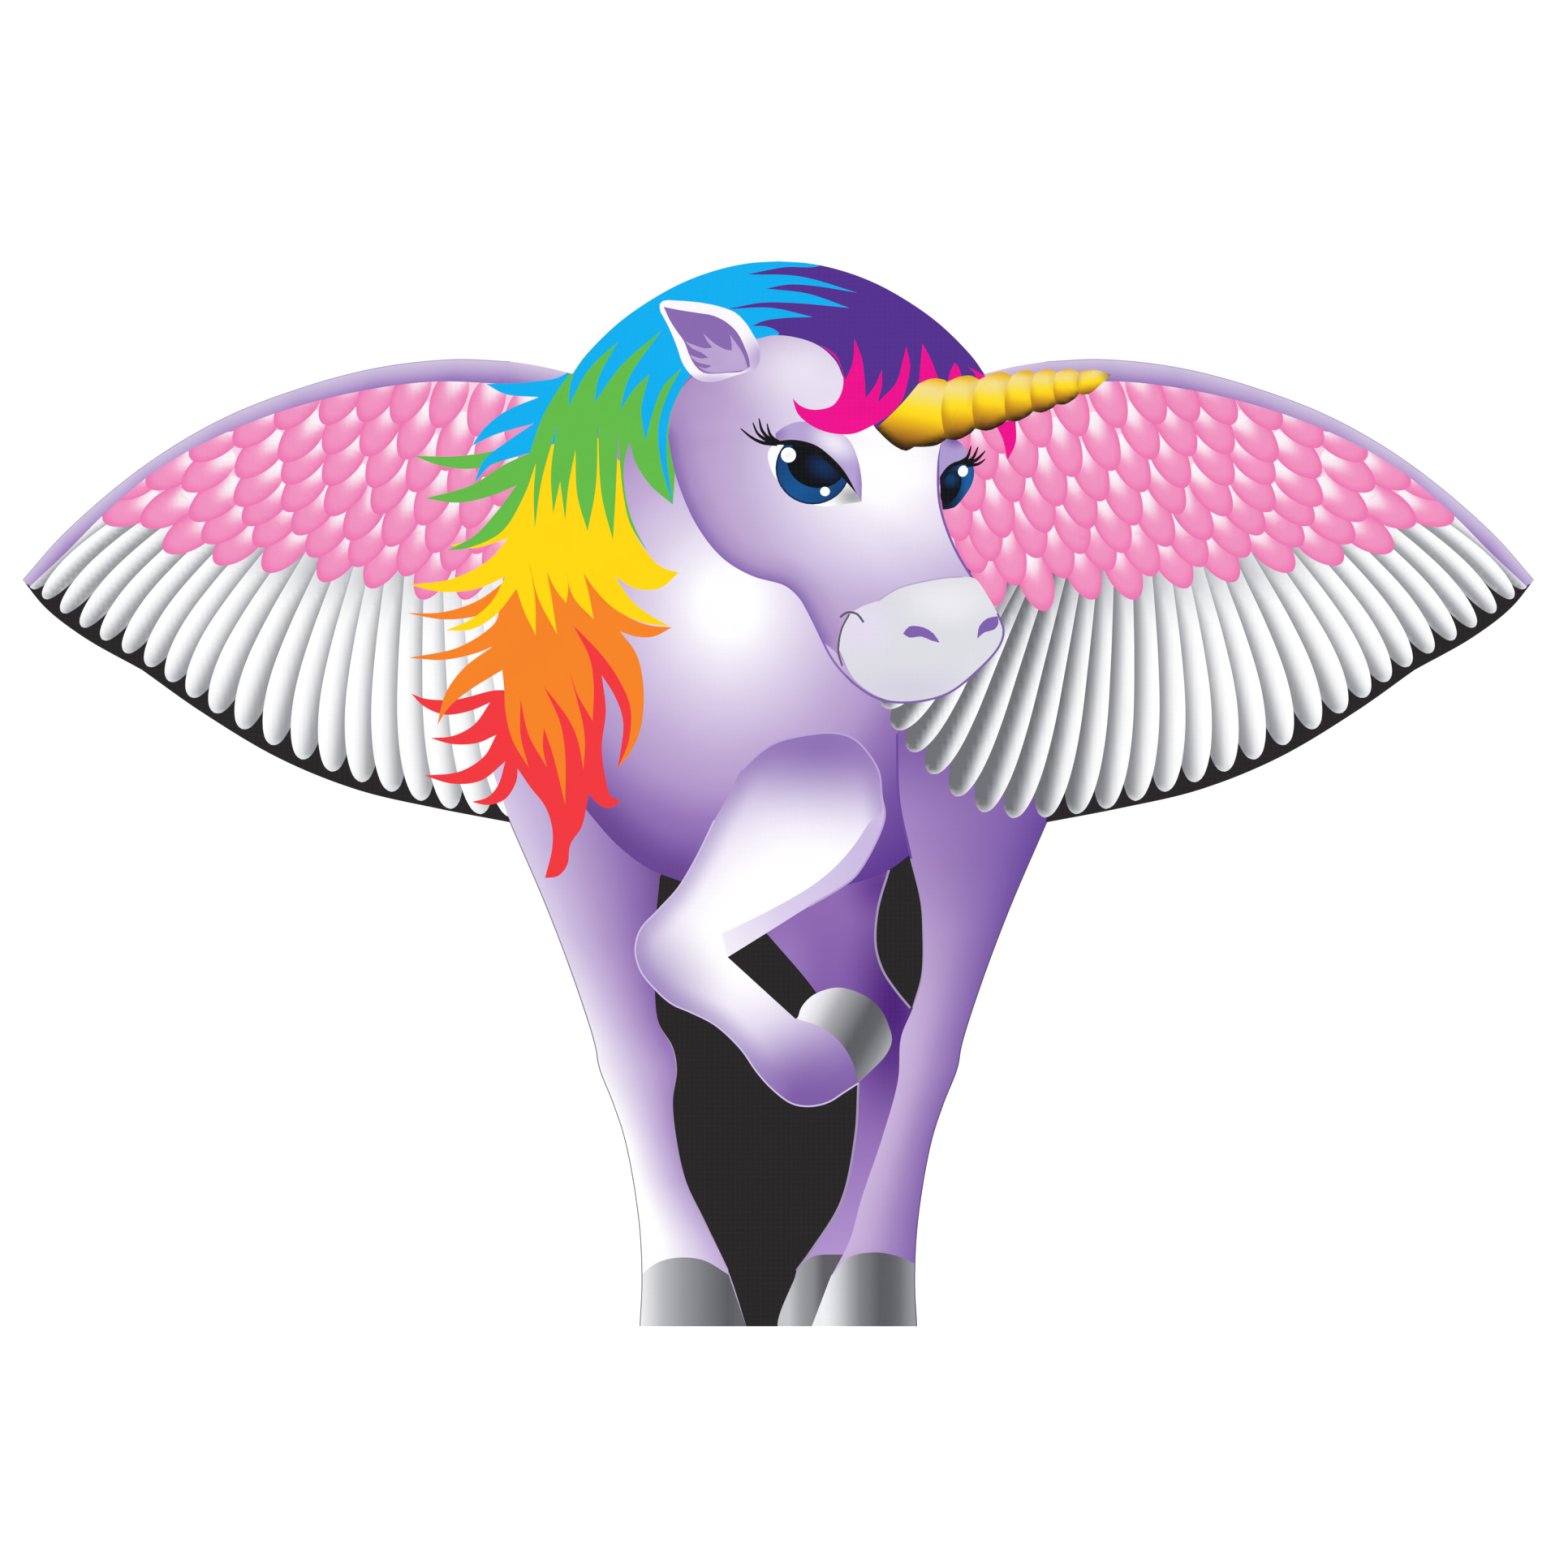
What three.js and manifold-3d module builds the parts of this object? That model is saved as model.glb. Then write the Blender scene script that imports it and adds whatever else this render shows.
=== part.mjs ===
// A printed kite in the shape of a winged unicorn: a fabric body panel and two fabric wing panels
// on a frame of thin glass-fibre rods. Millimetres, +Z up. The printed face looks along -Y and the
// rods lie behind it. The origin is the tow point: the spot on the printed face, between the two
// bridle holes, where the bridle is tied round the spine. Left is -X, as seen from the front.
import * as THREE from "three";
import { mergeVertices } from "three/addons/utils/BufferGeometryUtils.js";
import Module from "manifold-3d";

const wasm = await Module();
wasm.setup();

// ---- Driving dimensions ----
const TOP_Z = 215; // crown of the head
const FOOT_Z = -835; // bottom hem, under the hooves
const FOLD_X = 265; // the upright lines, at the hips, where the wings fold
const TIP = [745, -99]; // wing tip

const GAP = 0.3; // clearance between neighbouring pieces
const SAIL_T = 1; // fabric thickness, with its seams
const TAPE_T = 0.4; // hem tape and patches
const HEM_W = 8;
const INSET = 9; // from the edge of the sail to the middle of the rod that follows it

const SPINE_R = 2.5;
const SPINE_Y = 4.8;
const EDGE_R = 2; // leading rods, head hoop and foot rod
const EDGE_Y = 4.6;
const SPREADER_R = 2.5;
const SPREADER_Y = 13.7;
const SPREADER_Z = -24;
const PIVOT_X = 14;
const PIVOT_R = 1.5;
const PAD_RISE = 1.8; // the flat pad on the back of the centre fitting stands clear of the pin heads
const FERRULE_Z = -310; // middle of the tube that joins the two halves of the spine
const FERRULE_R = 3.4;
const FERRULE_LENGTH = 60;
const LOWER_BRIDLE_Z = -400;
const BRIDLE_X = 9; // bridle holes, either side of the spine
const BRIDLE_HOLE_R = 1.2;

const CAP_WALL = 0.9;
const CAP_DEPTH = 16; // how far a rod goes into its end cap
const CAP_END = 1.6; // closed end of a cap
const FLANGE = 6; // sewn strip on each side of a rod sleeve
const CLOTH_T = 0.6;

// ---- Outline of the right half; the left half mirrors it ----
const NOTCH = [203, 104]; // where the head meets the shoulder
const SHOULDER = [NOTCH, [232, 111], [FOLD_X, 116.4]];
const LEADING_EDGE = [
  [FOLD_X, 116.4], [320, 118.5], [396, 110], [473, 89.5], [550, 59], [626, 13], [703, -52], TIP,
];
const TIP_SCALLOP = [TIP, [722, -127], [684, -156], [627, -188]];
const MAIN_SCALLOP = [[627, -188], [569, -229], [492, -275], [415, -306], [338, -324], [FOLD_X, -338]];
const LEG = [
  [FOLD_X, -338], [228, -424], [199, -501], [181, -558], [177, -580], [163, -616], [151, -654],
  [138, -731], [135, -789], [137, FOOT_Z],
];
const HEAD = [NOTCH, [191, 121], [159, 153], [127, 176], [95, 193.6], [63, 205.6], [31, 212.8], [0, TOP_Z]];

const material = (color, roughness, metalness = 0) =>
  new THREE.MeshStandardMaterial({ color, roughness, metalness });
const MATERIALS = {
  print: material(0xb79ed2, 0.65),
  wingPrint: material(0xf48abc, 0.65),
  tape: material(0x231f20, 0.8),
  sleeve: material(0xe9e6f0, 0.75),
  webbing: material(0x1b1a1d, 0.85),
  rod: material(0x23262b, 0.35),
  moulding: material(0x17181b, 0.45),
  vinyl: material(0x0f0f11, 0.3),
  metal: material(0xb9bcc2, 0.3, 1),
};

const kite = new THREE.Group();
const sideName = (side, name) => (side < 0 ? "left_" : "right_") + name;

function add(name, geometry, kind) {
  const mesh = new THREE.Mesh(geometry, MATERIALS[kind]);
  mesh.name = name;
  kite.add(mesh);
  return mesh;
}

// ---- Outline helpers: points are [x, z] in the plane of the sail ----
const mirrored = (points, side) => points.map(([x, z]) => [side * x, z]);
const curve = (points) => new THREE.SplineCurve(points.map(([x, z]) => new THREE.Vector2(x, z)));

function sampled(points, count) {
  return curve(points).getPoints(count).map((p) => [p.x, p.y]);
}

function shapeOf(points) {
  return new THREE.Shape(points.map(([x, z]) => new THREE.Vector2(x, z)));
}

/** The curve moved sideways by distance, from arc share `from` to `to`; positive is to its right. */
function offsetPoints(path, distance, from, to, count) {
  const moved = [];
  for (let i = 0; i <= count; i++) {
    const u = from + ((to - from) * i) / count;
    const p = path.getPointAt(u);
    const t = path.getTangentAt(u);
    moved.push([p.x + t.y * distance, p.y - t.x * distance]);
  }
  return moved;
}

const inDepth = (points, y) =>
  new THREE.CatmullRomCurve3(points.map(([x, z]) => new THREE.Vector3(x, y, z)));

// ---- Solids ----
/** A flat piece, cut to a shape in the plane of the sail, from depth y0 to y1. */
function plate(shape, y0, y1) {
  const flat = new THREE.ExtrudeGeometry(shape, { depth: y1 - y0, bevelEnabled: false });
  return flat.rotateX(Math.PI / 2).translate(0, y1, 0);
}

function box(x0, x1, y0, y1, z0, z1) {
  const block = new THREE.BoxGeometry(x1 - x0, y1 - y0, z1 - z0);
  return block.translate((x0 + x1) / 2, (y0 + y1) / 2, (z0 + z1) / 2);
}

function circle(radius, sides, cx = 0, cy = 0) {
  const points = [];
  for (let i = 0; i < sides; i++) {
    const a = (2 * Math.PI * i) / sides;
    points.push(new THREE.Vector2(cx + radius * Math.cos(a), cy + radius * Math.sin(a)));
  }
  return points;
}

/** A section swept along a curve that lies in a plane of constant y; its first axis is -Y. */
function sweep(section, path, steps) {
  return new THREE.ExtrudeGeometry(section, { extrudePath: path, steps, bevelEnabled: false });
}

/** A round bar along an axis, from a to b. */
function bar(radius, a, b, sides = 12) {
  const from = new THREE.Vector3(...a);
  const along = new THREE.Vector3(...b).sub(from);
  const made = new THREE.CylinderGeometry(radius, radius, along.length(), sides);
  made.translate(0, along.length() / 2, 0);
  return aim(made, from, along);
}

/** Turns a piece made along +Y to point along a direction, from a point. */
function aim(geometry, from, direction) {
  const turn = new THREE.Quaternion().setFromUnitVectors(
    new THREE.Vector3(0, 1, 0),
    direction.clone().normalize(),
  );
  return geometry.applyQuaternion(turn).translate(from.x, from.y, from.z);
}

/** A turned piece along +Y from a profile of [radius, height] points, wound to face outwards. */
function turned(profile, sides = 16) {
  return new THREE.LatheGeometry(profile.map(([r, h]) => new THREE.Vector2(r, h)), sides);
}

/** A vinyl cap for a rod's end: its closed end points along +Y, and the rod's end is at height 0. */
function capShape(rodRadius) {
  const inner = rodRadius + GAP;
  const outer = inner + CAP_WALL;
  return turned([
    [0, GAP],
    [inner, GAP],
    [inner, -CAP_DEPTH],
    [outer, -CAP_DEPTH],
    [outer, CAP_END - 0.7],
    [outer - 0.8, CAP_END],
    [0, CAP_END],
  ]);
}

/** A tube of the given radii, centred on the origin along +Y. */
function ring(inner, outer, length, sides = 16) {
  const half = length / 2;
  return turned([[inner, -half], [outer, -half], [outer, half], [inner, half], [inner, -half]], sides);
}

/** The section of a cloth sleeve sewn down on both sides of a rod: a tall arch on two flanges. */
function sleeveSection(rodRadius, rodY, cloth = CLOTH_T, flange = FLANGE) {
  const inner = rodRadius + 0.5;
  const outer = inner + cloth;
  const low = SAIL_T + GAP;
  const high = low + cloth;
  const arch = (radius, direction) => {
    const points = [];
    for (let i = 0; i <= 4; i++) {
      const a = (direction * Math.PI * (i - 2)) / 4;
      points.push([rodY + radius * Math.cos(a), radius * Math.sin(a)]);
    }
    return points;
  };
  const section = [
    [low, -outer - flange],
    [low, -inner],
    ...arch(inner, 1),
    [low, inner],
    [low, outer + flange],
    [high, outer + flange],
    [high, outer],
    ...arch(outer, -1),
    [high, -outer],
    [high, -outer - flange],
  ];
  return new THREE.Shape(section.map(([depth, across]) => new THREE.Vector2(-depth, across)));
}

/** A straight sleeve along Z at x = 0. */
function uprightSleeve(rodRadius, rodY, z0, z1, cloth, flange) {
  const path = new THREE.LineCurve3(new THREE.Vector3(0, 0, z0), new THREE.Vector3(0, 0, z1));
  return sweep(sleeveSection(rodRadius, rodY, cloth, flange), path, 1);
}

// ---- Booleans ----
function solid(geometry) {
  const bare = geometry.index ? geometry.toNonIndexed() : geometry.clone();
  bare.deleteAttribute("normal");
  bare.deleteAttribute("uv");
  const merged = mergeVertices(bare, 1e-4);
  return new wasm.Manifold(new wasm.Mesh({
    numProp: 3,
    vertProperties: new Float32Array(merged.attributes.position.array),
    triVerts: new Uint32Array(merged.index.array),
  }));
}

function geometryOf(made) {
  const mesh = made.getMesh();
  const geometry = new THREE.BufferGeometry();
  geometry.setAttribute("position", new THREE.BufferAttribute(mesh.vertProperties, 3));
  geometry.setIndex(new THREE.BufferAttribute(mesh.triVerts, 1));
  return geometry;
}

const joined = (first, ...rest) => rest.reduce((sum, piece) => sum.add(solid(piece)), solid(first));
const cut = (made, ...tools) => tools.reduce((left, tool) => left.subtract(solid(tool)), made);

// ---- Sail panels, hems and patches ----
function addBodySail() {
  const half = (side) => [
    ...sampled(mirrored(HEAD, side), 28).reverse(),
    ...sampled(mirrored(SHOULDER, side), 6).slice(1, -1),
    [side * (FOLD_X - 0.5), SHOULDER.at(-1)[1]],
    [side * (FOLD_X - 0.5), LEG[0][1]],
    ...sampled(mirrored(LEG, side), 30).slice(1),
  ];
  const outline = shapeOf([...half(1), ...half(-1).reverse().slice(0, -1)]);
  for (const z of [0, LOWER_BRIDLE_Z])
    for (const x of [-BRIDLE_X, BRIDLE_X])
      outline.holes.push(new THREE.Path(circle(BRIDLE_HOLE_R, 10, x, z)));
  add("body_sail", plate(outline, 0, SAIL_T), "print");
}

function addWingSail(side) {
  const inner = FOLD_X + 0.5;
  const outline = [
    [inner * side, LEADING_EDGE[0][1]],
    ...sampled(mirrored(LEADING_EDGE, side), 30).slice(1),
    ...sampled(mirrored(TIP_SCALLOP, side), 8).slice(1),
    ...sampled(mirrored(MAIN_SCALLOP, side), 16).slice(1, -1),
    [inner * side, MAIN_SCALLOP.at(-1)[1]],
  ];
  add(sideName(side, "wing_sail"), plate(shapeOf(outline), 0, SAIL_T), "wingPrint");
}

/** A tape along the back of a free edge, from arc share `from` to `to` of the edge. */
function hem(points, side, from, to, count) {
  const edge = curve(mirrored(points, side));
  const outer = offsetPoints(edge, side * 0.4, from, to, count);
  const inner = offsetPoints(edge, side * HEM_W, from, to, count).reverse();
  return plate(shapeOf([...outer, ...inner]), SAIL_T + GAP, SAIL_T + GAP + TAPE_T);
}

function addHems(side) {
  add(sideName(side, "tip_hem"), hem(TIP_SCALLOP, side, 0.22, 0.995, 8), "tape");
  add(sideName(side, "trailing_hem"), hem(MAIN_SCALLOP, side, 0.012, 0.985, 16), "tape");
  add(sideName(side, "leg_hem"), hem(LEG, side, 0.005, 0.955, 26), "tape");
  add(sideName(side, "shoulder_hem"), hem(SHOULDER, side, 0.2, 0.97, 5), "tape");
}

function addBridlePatch(name, z) {
  const outline = shapeOf(circle(1, 20).map((p) => [p.x * 16, z + p.y * 6]));
  for (const x of [-BRIDLE_X, BRIDLE_X])
    outline.holes.push(new THREE.Path(circle(BRIDLE_HOLE_R, 10, x, z)));
  add(name, plate(outline, SAIL_T + GAP, SAIL_T + GAP + TAPE_T), "webbing");
}

// ---- Rods with their sleeves and caps ----
function addCap(name, rodRadius, at, direction) {
  add(name, aim(capShape(rodRadius), at, direction), "vinyl");
}

function bentRod(path, steps) {
  return sweep(new THREE.Shape(circle(EDGE_R, 10)), path, steps);
}

function addSpine() {
  const top = TOP_Z - 2 * INSET - 3.6;
  const bottom = FOOT_Z + 2 * INSET + 3.6;
  const rod = (a, b) => bar(SPINE_R, [0, SPINE_Y, a], [0, SPINE_Y, b]);
  add("spine_upper_rod", rod(FERRULE_Z + GAP, top), "rod");
  add("spine_lower_rod", rod(bottom, FERRULE_Z - GAP), "rod");
  const ferrule = ring(SPINE_R + GAP, FERRULE_R, FERRULE_LENGTH).rotateX(Math.PI / 2);
  add("spine_ferrule", ferrule.translate(0, SPINE_Y, FERRULE_Z), "metal");
  addCap("spine_top_cap", SPINE_R, new THREE.Vector3(0, SPINE_Y, top), new THREE.Vector3(0, 0, 1));
  addCap("spine_bottom_cap", SPINE_R, new THREE.Vector3(0, SPINE_Y, bottom), new THREE.Vector3(0, 0, -1));

  const pocketStart = top - CAP_DEPTH;
  const pocketEnd = bottom + CAP_DEPTH;
  const sleeve = (name, z0, z1) => add(name, uprightSleeve(FERRULE_R, SPINE_Y, z0, z1), "sleeve");
  sleeve("spine_sleeve_top", 12, pocketStart - 2);
  sleeve("spine_sleeve_middle", LOWER_BRIDLE_Z + 12, SPREADER_Z - 26);
  sleeve("spine_sleeve_bottom", pocketEnd + 2, LOWER_BRIDLE_Z - 12);
  const pocket = (name, z0, z1) =>
    add(name, uprightSleeve(SPINE_R + GAP + CAP_WALL, SPINE_Y, z0, z1, 1, 7), "webbing");
  pocket("nose_pocket", pocketStart, top + CAP_END);
  pocket("foot_pocket", bottom - CAP_END, pocketEnd);
  addBridlePatch("upper_bridle_patch", 0);
  addBridlePatch("lower_bridle_patch", LOWER_BRIDLE_Z);
}

function addHeadHoop() {
  const right = HEAD.slice(0, -1);
  const head = curve([...mirrored(right, -1), [0, TOP_Z], ...[...right].reverse()]);
  const end = CAP_DEPTH / head.getLength();
  const inset = (from, to, count) => inDepth(offsetPoints(head, INSET, from, to, count), EDGE_Y);
  const rod = inset(0, 1, 32);
  add("head_hoop_rod", bentRod(rod, 32), "rod");
  const sleeve = sweep(sleeveSection(EDGE_R, EDGE_Y), inset(end * 1.3, 1 - end * 1.3, 32), 28);
  add("head_hoop_sleeve", sleeve, "sleeve");
  addCap("hoop_left_cap", EDGE_R, rod.getPoint(0), rod.getTangent(0).negate());
  addCap("hoop_right_cap", EDGE_R, rod.getPoint(1), rod.getTangent(1));
}

function addFootRod() {
  const z = FOOT_Z + INSET;
  const end = LEG.at(-1)[0] - INSET;
  add("foot_rod", bar(EDGE_R, [-end, EDGE_Y, z], [end, EDGE_Y, z]), "rod");
  const reach = end - CAP_DEPTH - 2;
  const path = new THREE.LineCurve3(new THREE.Vector3(-reach, 0, 0), new THREE.Vector3(reach, 0, 0));
  // The section of a straight sweep along X lies across Z, so it is turned to lie on the sail.
  const sleeve = sweep(sleeveSection(EDGE_R, EDGE_Y), path, 1).rotateX(-Math.PI / 2);
  add("foot_sleeve", sleeve.translate(0, 0, z), "sleeve");
  for (const side of [-1, 1]) {
    const at = new THREE.Vector3(side * end, EDGE_Y, z);
    addCap(side < 0 ? "foot_left_cap" : "foot_right_cap", EDGE_R, at, new THREE.Vector3(side, 0, 0));
  }
}

/** The arc share of a path's point at the given height. */
function shareAtHeight(path, z) {
  let low = 0;
  let high = 1;
  for (let i = 0; i < 40; i++) {
    const middle = (low + high) / 2;
    if (path.getPointAt(middle).z > z) low = middle;
    else high = middle;
  }
  return low;
}

function addLeadingRod(side) {
  const edge = curve(mirrored(LEADING_EDGE, side));
  const innerEnd = 18 / edge.getLength();
  const outerEnd = 1 - 16 / edge.getLength();
  const rod = inDepth(offsetPoints(edge, side * INSET, innerEnd, outerEnd, 28), EDGE_Y);
  const length = rod.getLength();
  const share = (distance) => distance / length;
  const crossing = shareAtHeight(rod, SPREADER_Z);
  add(sideName(side, "leading_rod"), bentRod(rod, 28), "rod");
  addCap(sideName(side, "inner_cap"), EDGE_R, rod.getPointAt(0), rod.getTangentAt(0).negate());
  addCap(sideName(side, "tip_cap"), EDGE_R, rod.getPointAt(1), rod.getTangentAt(1));

  const part = (from, to, steps) => {
    const points = [];
    for (let i = 0; i <= steps; i++) points.push(rod.getPointAt(from + ((to - from) * i) / steps));
    const flat = points.map((p) => [p.x, p.z]);
    return sweep(sleeveSection(EDGE_R, EDGE_Y), inDepth(flat, 0), steps);
  };
  const innerSleeve = part(share(CAP_DEPTH + 2), crossing - share(24), 22);
  const outerSleeve = part(crossing + share(30), 1 - share(CAP_DEPTH + 2), 4);
  add(sideName(side, "leading_sleeve_inner"), innerSleeve, "sleeve");
  add(sideName(side, "leading_sleeve_outer"), outerSleeve, "sleeve");
  addConnector(side, rod, crossing, share);
}

// ---- Fittings ----
/** Clips on the leading rod and gives the spreader a seat that is open behind and below. */
function addConnector(side, rod, crossing, share) {
  const at = rod.getPointAt(crossing);
  const along = rod.getTangentAt(crossing);
  const half = 13;
  const end = (distance) => at.clone().addScaledVector(along, distance).toArray();
  const lowest = SAIL_T + GAP;
  const seatR = SPREADER_R + GAP + CAP_WALL;
  const web = [7.4, SPREADER_Y - seatR - GAP];
  const back = SPREADER_Y + seatR;
  const tip = spreaderTip() + CAP_END + GAP;
  const shelf = SPREADER_Z + seatR + GAP;
  const wall = 2;
  const across = (a, b, y0, y1, z0, z1) =>
    box(Math.min(side * a, side * b), Math.max(side * a, side * b), y0, y1, z0, z1);
  let made = joined(
    bar(4, end(-half), end(half), 20),
    across(tip - 26, tip + wall, ...web, SPREADER_Z - 6, shelf + wall),
    across(tip - 26, tip + wall, web[0], back, shelf, shelf + wall),
    across(tip, tip + wall, web[0], back, SPREADER_Z - 6, shelf + wall),
  );
  made = cut(
    made,
    bar(EDGE_R + GAP, end(-half - 1), end(half + 1), 20),
    box(at.x - 40, at.x + 40, lowest - 9, lowest, at.z - 40, at.z + 40),
  );
  add(sideName(side, "leading_connector"), geometryOf(made), "moulding");
  const collar = ring(EDGE_R + GAP, EDGE_R + 1.4, 5);
  const place = rod.getPointAt(crossing + share(half + 5));
  add(sideName(side, "connector_stop"), aim(collar, place, along), "vinyl");
}

/** Distance from the middle of the kite to the end of a spreader's rod. */
function spreaderTip() {
  return 662;
}

/** Grips the spine and holds the two spreader sockets between two plates. */
function addCentreFitting() {
  const halfHeight = 10;
  const socketR = 4;
  const front = [SPINE_Y + SPINE_R + 0.6, SPREADER_Y - socketR - GAP];
  const rear = [SPREADER_Y + socketR + GAP, SPREADER_Y + socketR + GAP + 1.5];
  const reach = PIVOT_X + 5;
  const face = new THREE.Shape();
  face.absarc(reach - halfHeight, SPREADER_Z, halfHeight, -Math.PI / 2, Math.PI / 2, false);
  face.absarc(halfHeight - reach, SPREADER_Z, halfHeight, Math.PI / 2, (3 * Math.PI) / 2, false);
  let made = joined(
    plate(face, ...front),
    plate(face, ...rear),
    box(-7, 7, SAIL_T + 0.5, front[1], SPREADER_Z - 12, SPREADER_Z + 12),
    box(-5.5, 5.5, front[0], rear[1], SPREADER_Z - halfHeight, SPREADER_Z + halfHeight),
    box(-5, 5, rear[0], rear[1] + PAD_RISE, SPREADER_Z - 7, SPREADER_Z + 7),
  );
  const pinHole = (x) => bar(PIVOT_R + GAP, [x, 0, SPREADER_Z], [x, 30, SPREADER_Z], 16);
  made = cut(
    made,
    bar(SPINE_R + GAP, [0, SPINE_Y, SPREADER_Z - 20], [0, SPINE_Y, SPREADER_Z + 20], 20),
    pinHole(PIVOT_X),
    pinHole(-PIVOT_X),
  );
  add("centre_fitting", geometryOf(made), "moulding");

  for (const side of [-1, 1]) {
    const headR = PIVOT_R + 1.3;
    const low = front[0] - GAP;
    const high = rear[1] + GAP;
    const pin = turned([
      [0, low - 1], [headR, low - 1], [headR, low], [PIVOT_R, low],
      [PIVOT_R, high], [headR, high], [headR, high + 1], [0, high + 1],
    ]);
    add(sideName(side, "pivot_pin"), pin.translate(side * PIVOT_X, 0, SPREADER_Z), "metal");
  }
  for (const [name, z] of [["upper_stop", SPREADER_Z + 15], ["lower_stop", SPREADER_Z - 15]]) {
    const collar = ring(SPINE_R + GAP, SPINE_R + 1, 5).rotateX(Math.PI / 2);
    add(name, collar.translate(0, SPINE_Y, z), "vinyl");
  }
}

/** Half of the spreader: a socket that turns on its pin, the rod, and the cap on its tip. */
function addSpreader(side) {
  const socketR = 4;
  const rodStart = PIVOT_X + 9;
  const socketEnd = PIVOT_X + 46;
  const point = (x) => [side * x, SPREADER_Y, SPREADER_Z];
  const eye = bar(
    5.5,
    [side * PIVOT_X, SPREADER_Y - socketR, SPREADER_Z],
    [side * PIVOT_X, SPREADER_Y + socketR, SPREADER_Z],
    20,
  );
  const socket = cut(
    joined(eye, bar(socketR, point(PIVOT_X), point(socketEnd), 20)),
    bar(SPREADER_R + GAP, point(rodStart - GAP), point(socketEnd + 1), 20),
    bar(PIVOT_R + GAP, [side * PIVOT_X, 0, SPREADER_Z], [side * PIVOT_X, 30, SPREADER_Z], 16),
  );
  add(sideName(side, "spreader_socket"), geometryOf(socket), "moulding");
  add(sideName(side, "spreader_rod"), bar(SPREADER_R, point(rodStart), point(spreaderTip())), "rod");
  const at = new THREE.Vector3(...point(spreaderTip()));
  addCap(sideName(side, "spreader_tip_cap"), SPREADER_R, at, new THREE.Vector3(side, 0, 0));
}

addBodySail();
addSpine();
addHeadHoop();
addFootRod();
addCentreFitting();
for (const side of [-1, 1]) {
  addWingSail(side);
  addHems(side);
  addLeadingRod(side);
  addSpreader(side);
}

export default kite;
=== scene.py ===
import math

import bmesh
import bpy
import numpy as np
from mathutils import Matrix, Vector, geometry


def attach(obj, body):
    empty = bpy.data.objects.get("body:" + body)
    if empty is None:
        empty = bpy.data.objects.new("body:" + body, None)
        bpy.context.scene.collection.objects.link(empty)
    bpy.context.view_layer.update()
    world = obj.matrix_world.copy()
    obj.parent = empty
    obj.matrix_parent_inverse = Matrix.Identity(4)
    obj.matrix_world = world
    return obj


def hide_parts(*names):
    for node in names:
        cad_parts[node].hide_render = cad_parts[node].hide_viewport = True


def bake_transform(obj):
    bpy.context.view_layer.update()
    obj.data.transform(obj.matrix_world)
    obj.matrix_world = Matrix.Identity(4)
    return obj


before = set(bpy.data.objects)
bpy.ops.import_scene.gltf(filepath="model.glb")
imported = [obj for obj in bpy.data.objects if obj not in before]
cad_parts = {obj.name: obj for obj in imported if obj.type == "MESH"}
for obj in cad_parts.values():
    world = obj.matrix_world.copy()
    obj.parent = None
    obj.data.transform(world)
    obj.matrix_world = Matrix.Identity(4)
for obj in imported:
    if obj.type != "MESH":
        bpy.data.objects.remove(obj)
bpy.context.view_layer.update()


# ---- Sizes, in millimetres unless a name says otherwise ----
MM = 0.001
TOP_Z = 215  # the crown of the head
HEM_Z = -835  # the feet
FOLD_X = 265  # the wings fold here, at the hips
BEND_REACH = {-1: 6, 1: 15}  # how far the bend reaches from the fold; the right wing folds over the left
WAIST_Z = -310  # the body panel is drawn in two halves that meet here
SAIL_T = 0.6
GRID = 5  # spacing of the loose points that let the sail ripple
RIPPLE = 1.6  # height of the ripples in the cloth
INSET = 9  # from the sail's edge to the rods that follow it
EDGE_R, EDGE_Y = 2, 4.6  # radius and depth of the rods along the edges
SPINE_R, SPINE_Y = 2.5, 4.8
SPREADER_R, SPREADER_Y, SPREADER_Z = 2.5, 13.7, -24
SPREADER_ROOT, SPREADER_END = 23, 662
SPINE_TOP, SPINE_BOTTOM = 193.4, -813.4
FERRULE_Z, FERRULE_LENGTH = -310, 60
CAP_DEPTH, CAP_END = 16, 1.6  # how far a cap reaches over a rod and past its end
COLLAR_HALF = 2.4  # half the length of a collar
HEM_W = 8
HEM_CLEAR = 20  # the hems stop this far from a fold
TAPE = (0.75, 1.25)  # near and far face of hem tape and patches, behind the printed face
SLEEVE_T, SLEEVE_FLANGE = 0.5, 5.6  # a sleeve's cloth, and the strips of it that are sewn down
SLEEVE_ROOM = 0.45  # between a rod and its sleeve
POCKET_T, POCKET_FLANGE = 0.9, 6.5
STITCH, STITCH_GAP = 2.6, 1.3
CURVE_STEP = 4  # longest straight stretch of a drawn curve

SIDES = ((-1, "left"), (1, "right"))
# The pieces that are sewn on each panel of the sail, gathered as they are made.
SEWN = {"left_wing_print": [], "right_wing_print": [], "upper_body_print": [], "lower_body_print": []}


# ---- Studio: light, and a camera in metres ----
WORLD_LIGHT, WORLD_SEEN = 0.545, 1.02  # how bright the surroundings shine and look
CAMERA_AWAY = 4.0
SENSOR = 36  # width of the camera's sensor in millimetres
FRAME_WIDTH = 1.5456  # what the picture shows across the sail
FRAME_CENTRE = (0.0056, -0.3003)


# ---- Print: sizes, shades and curves of the left half, in millimetres ----
BLACK = "231f20"
INK = "0b0a0d"
BLUE_HAIR = "00aeef"
GREEN_HAIR = "62bb46"
PURPLE_HAIR = "522d8e"
PINK_HAIR = "ec008c"
HORN_SHADE = "1f1404"
FEATHERS = 28  # on each wing
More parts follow.
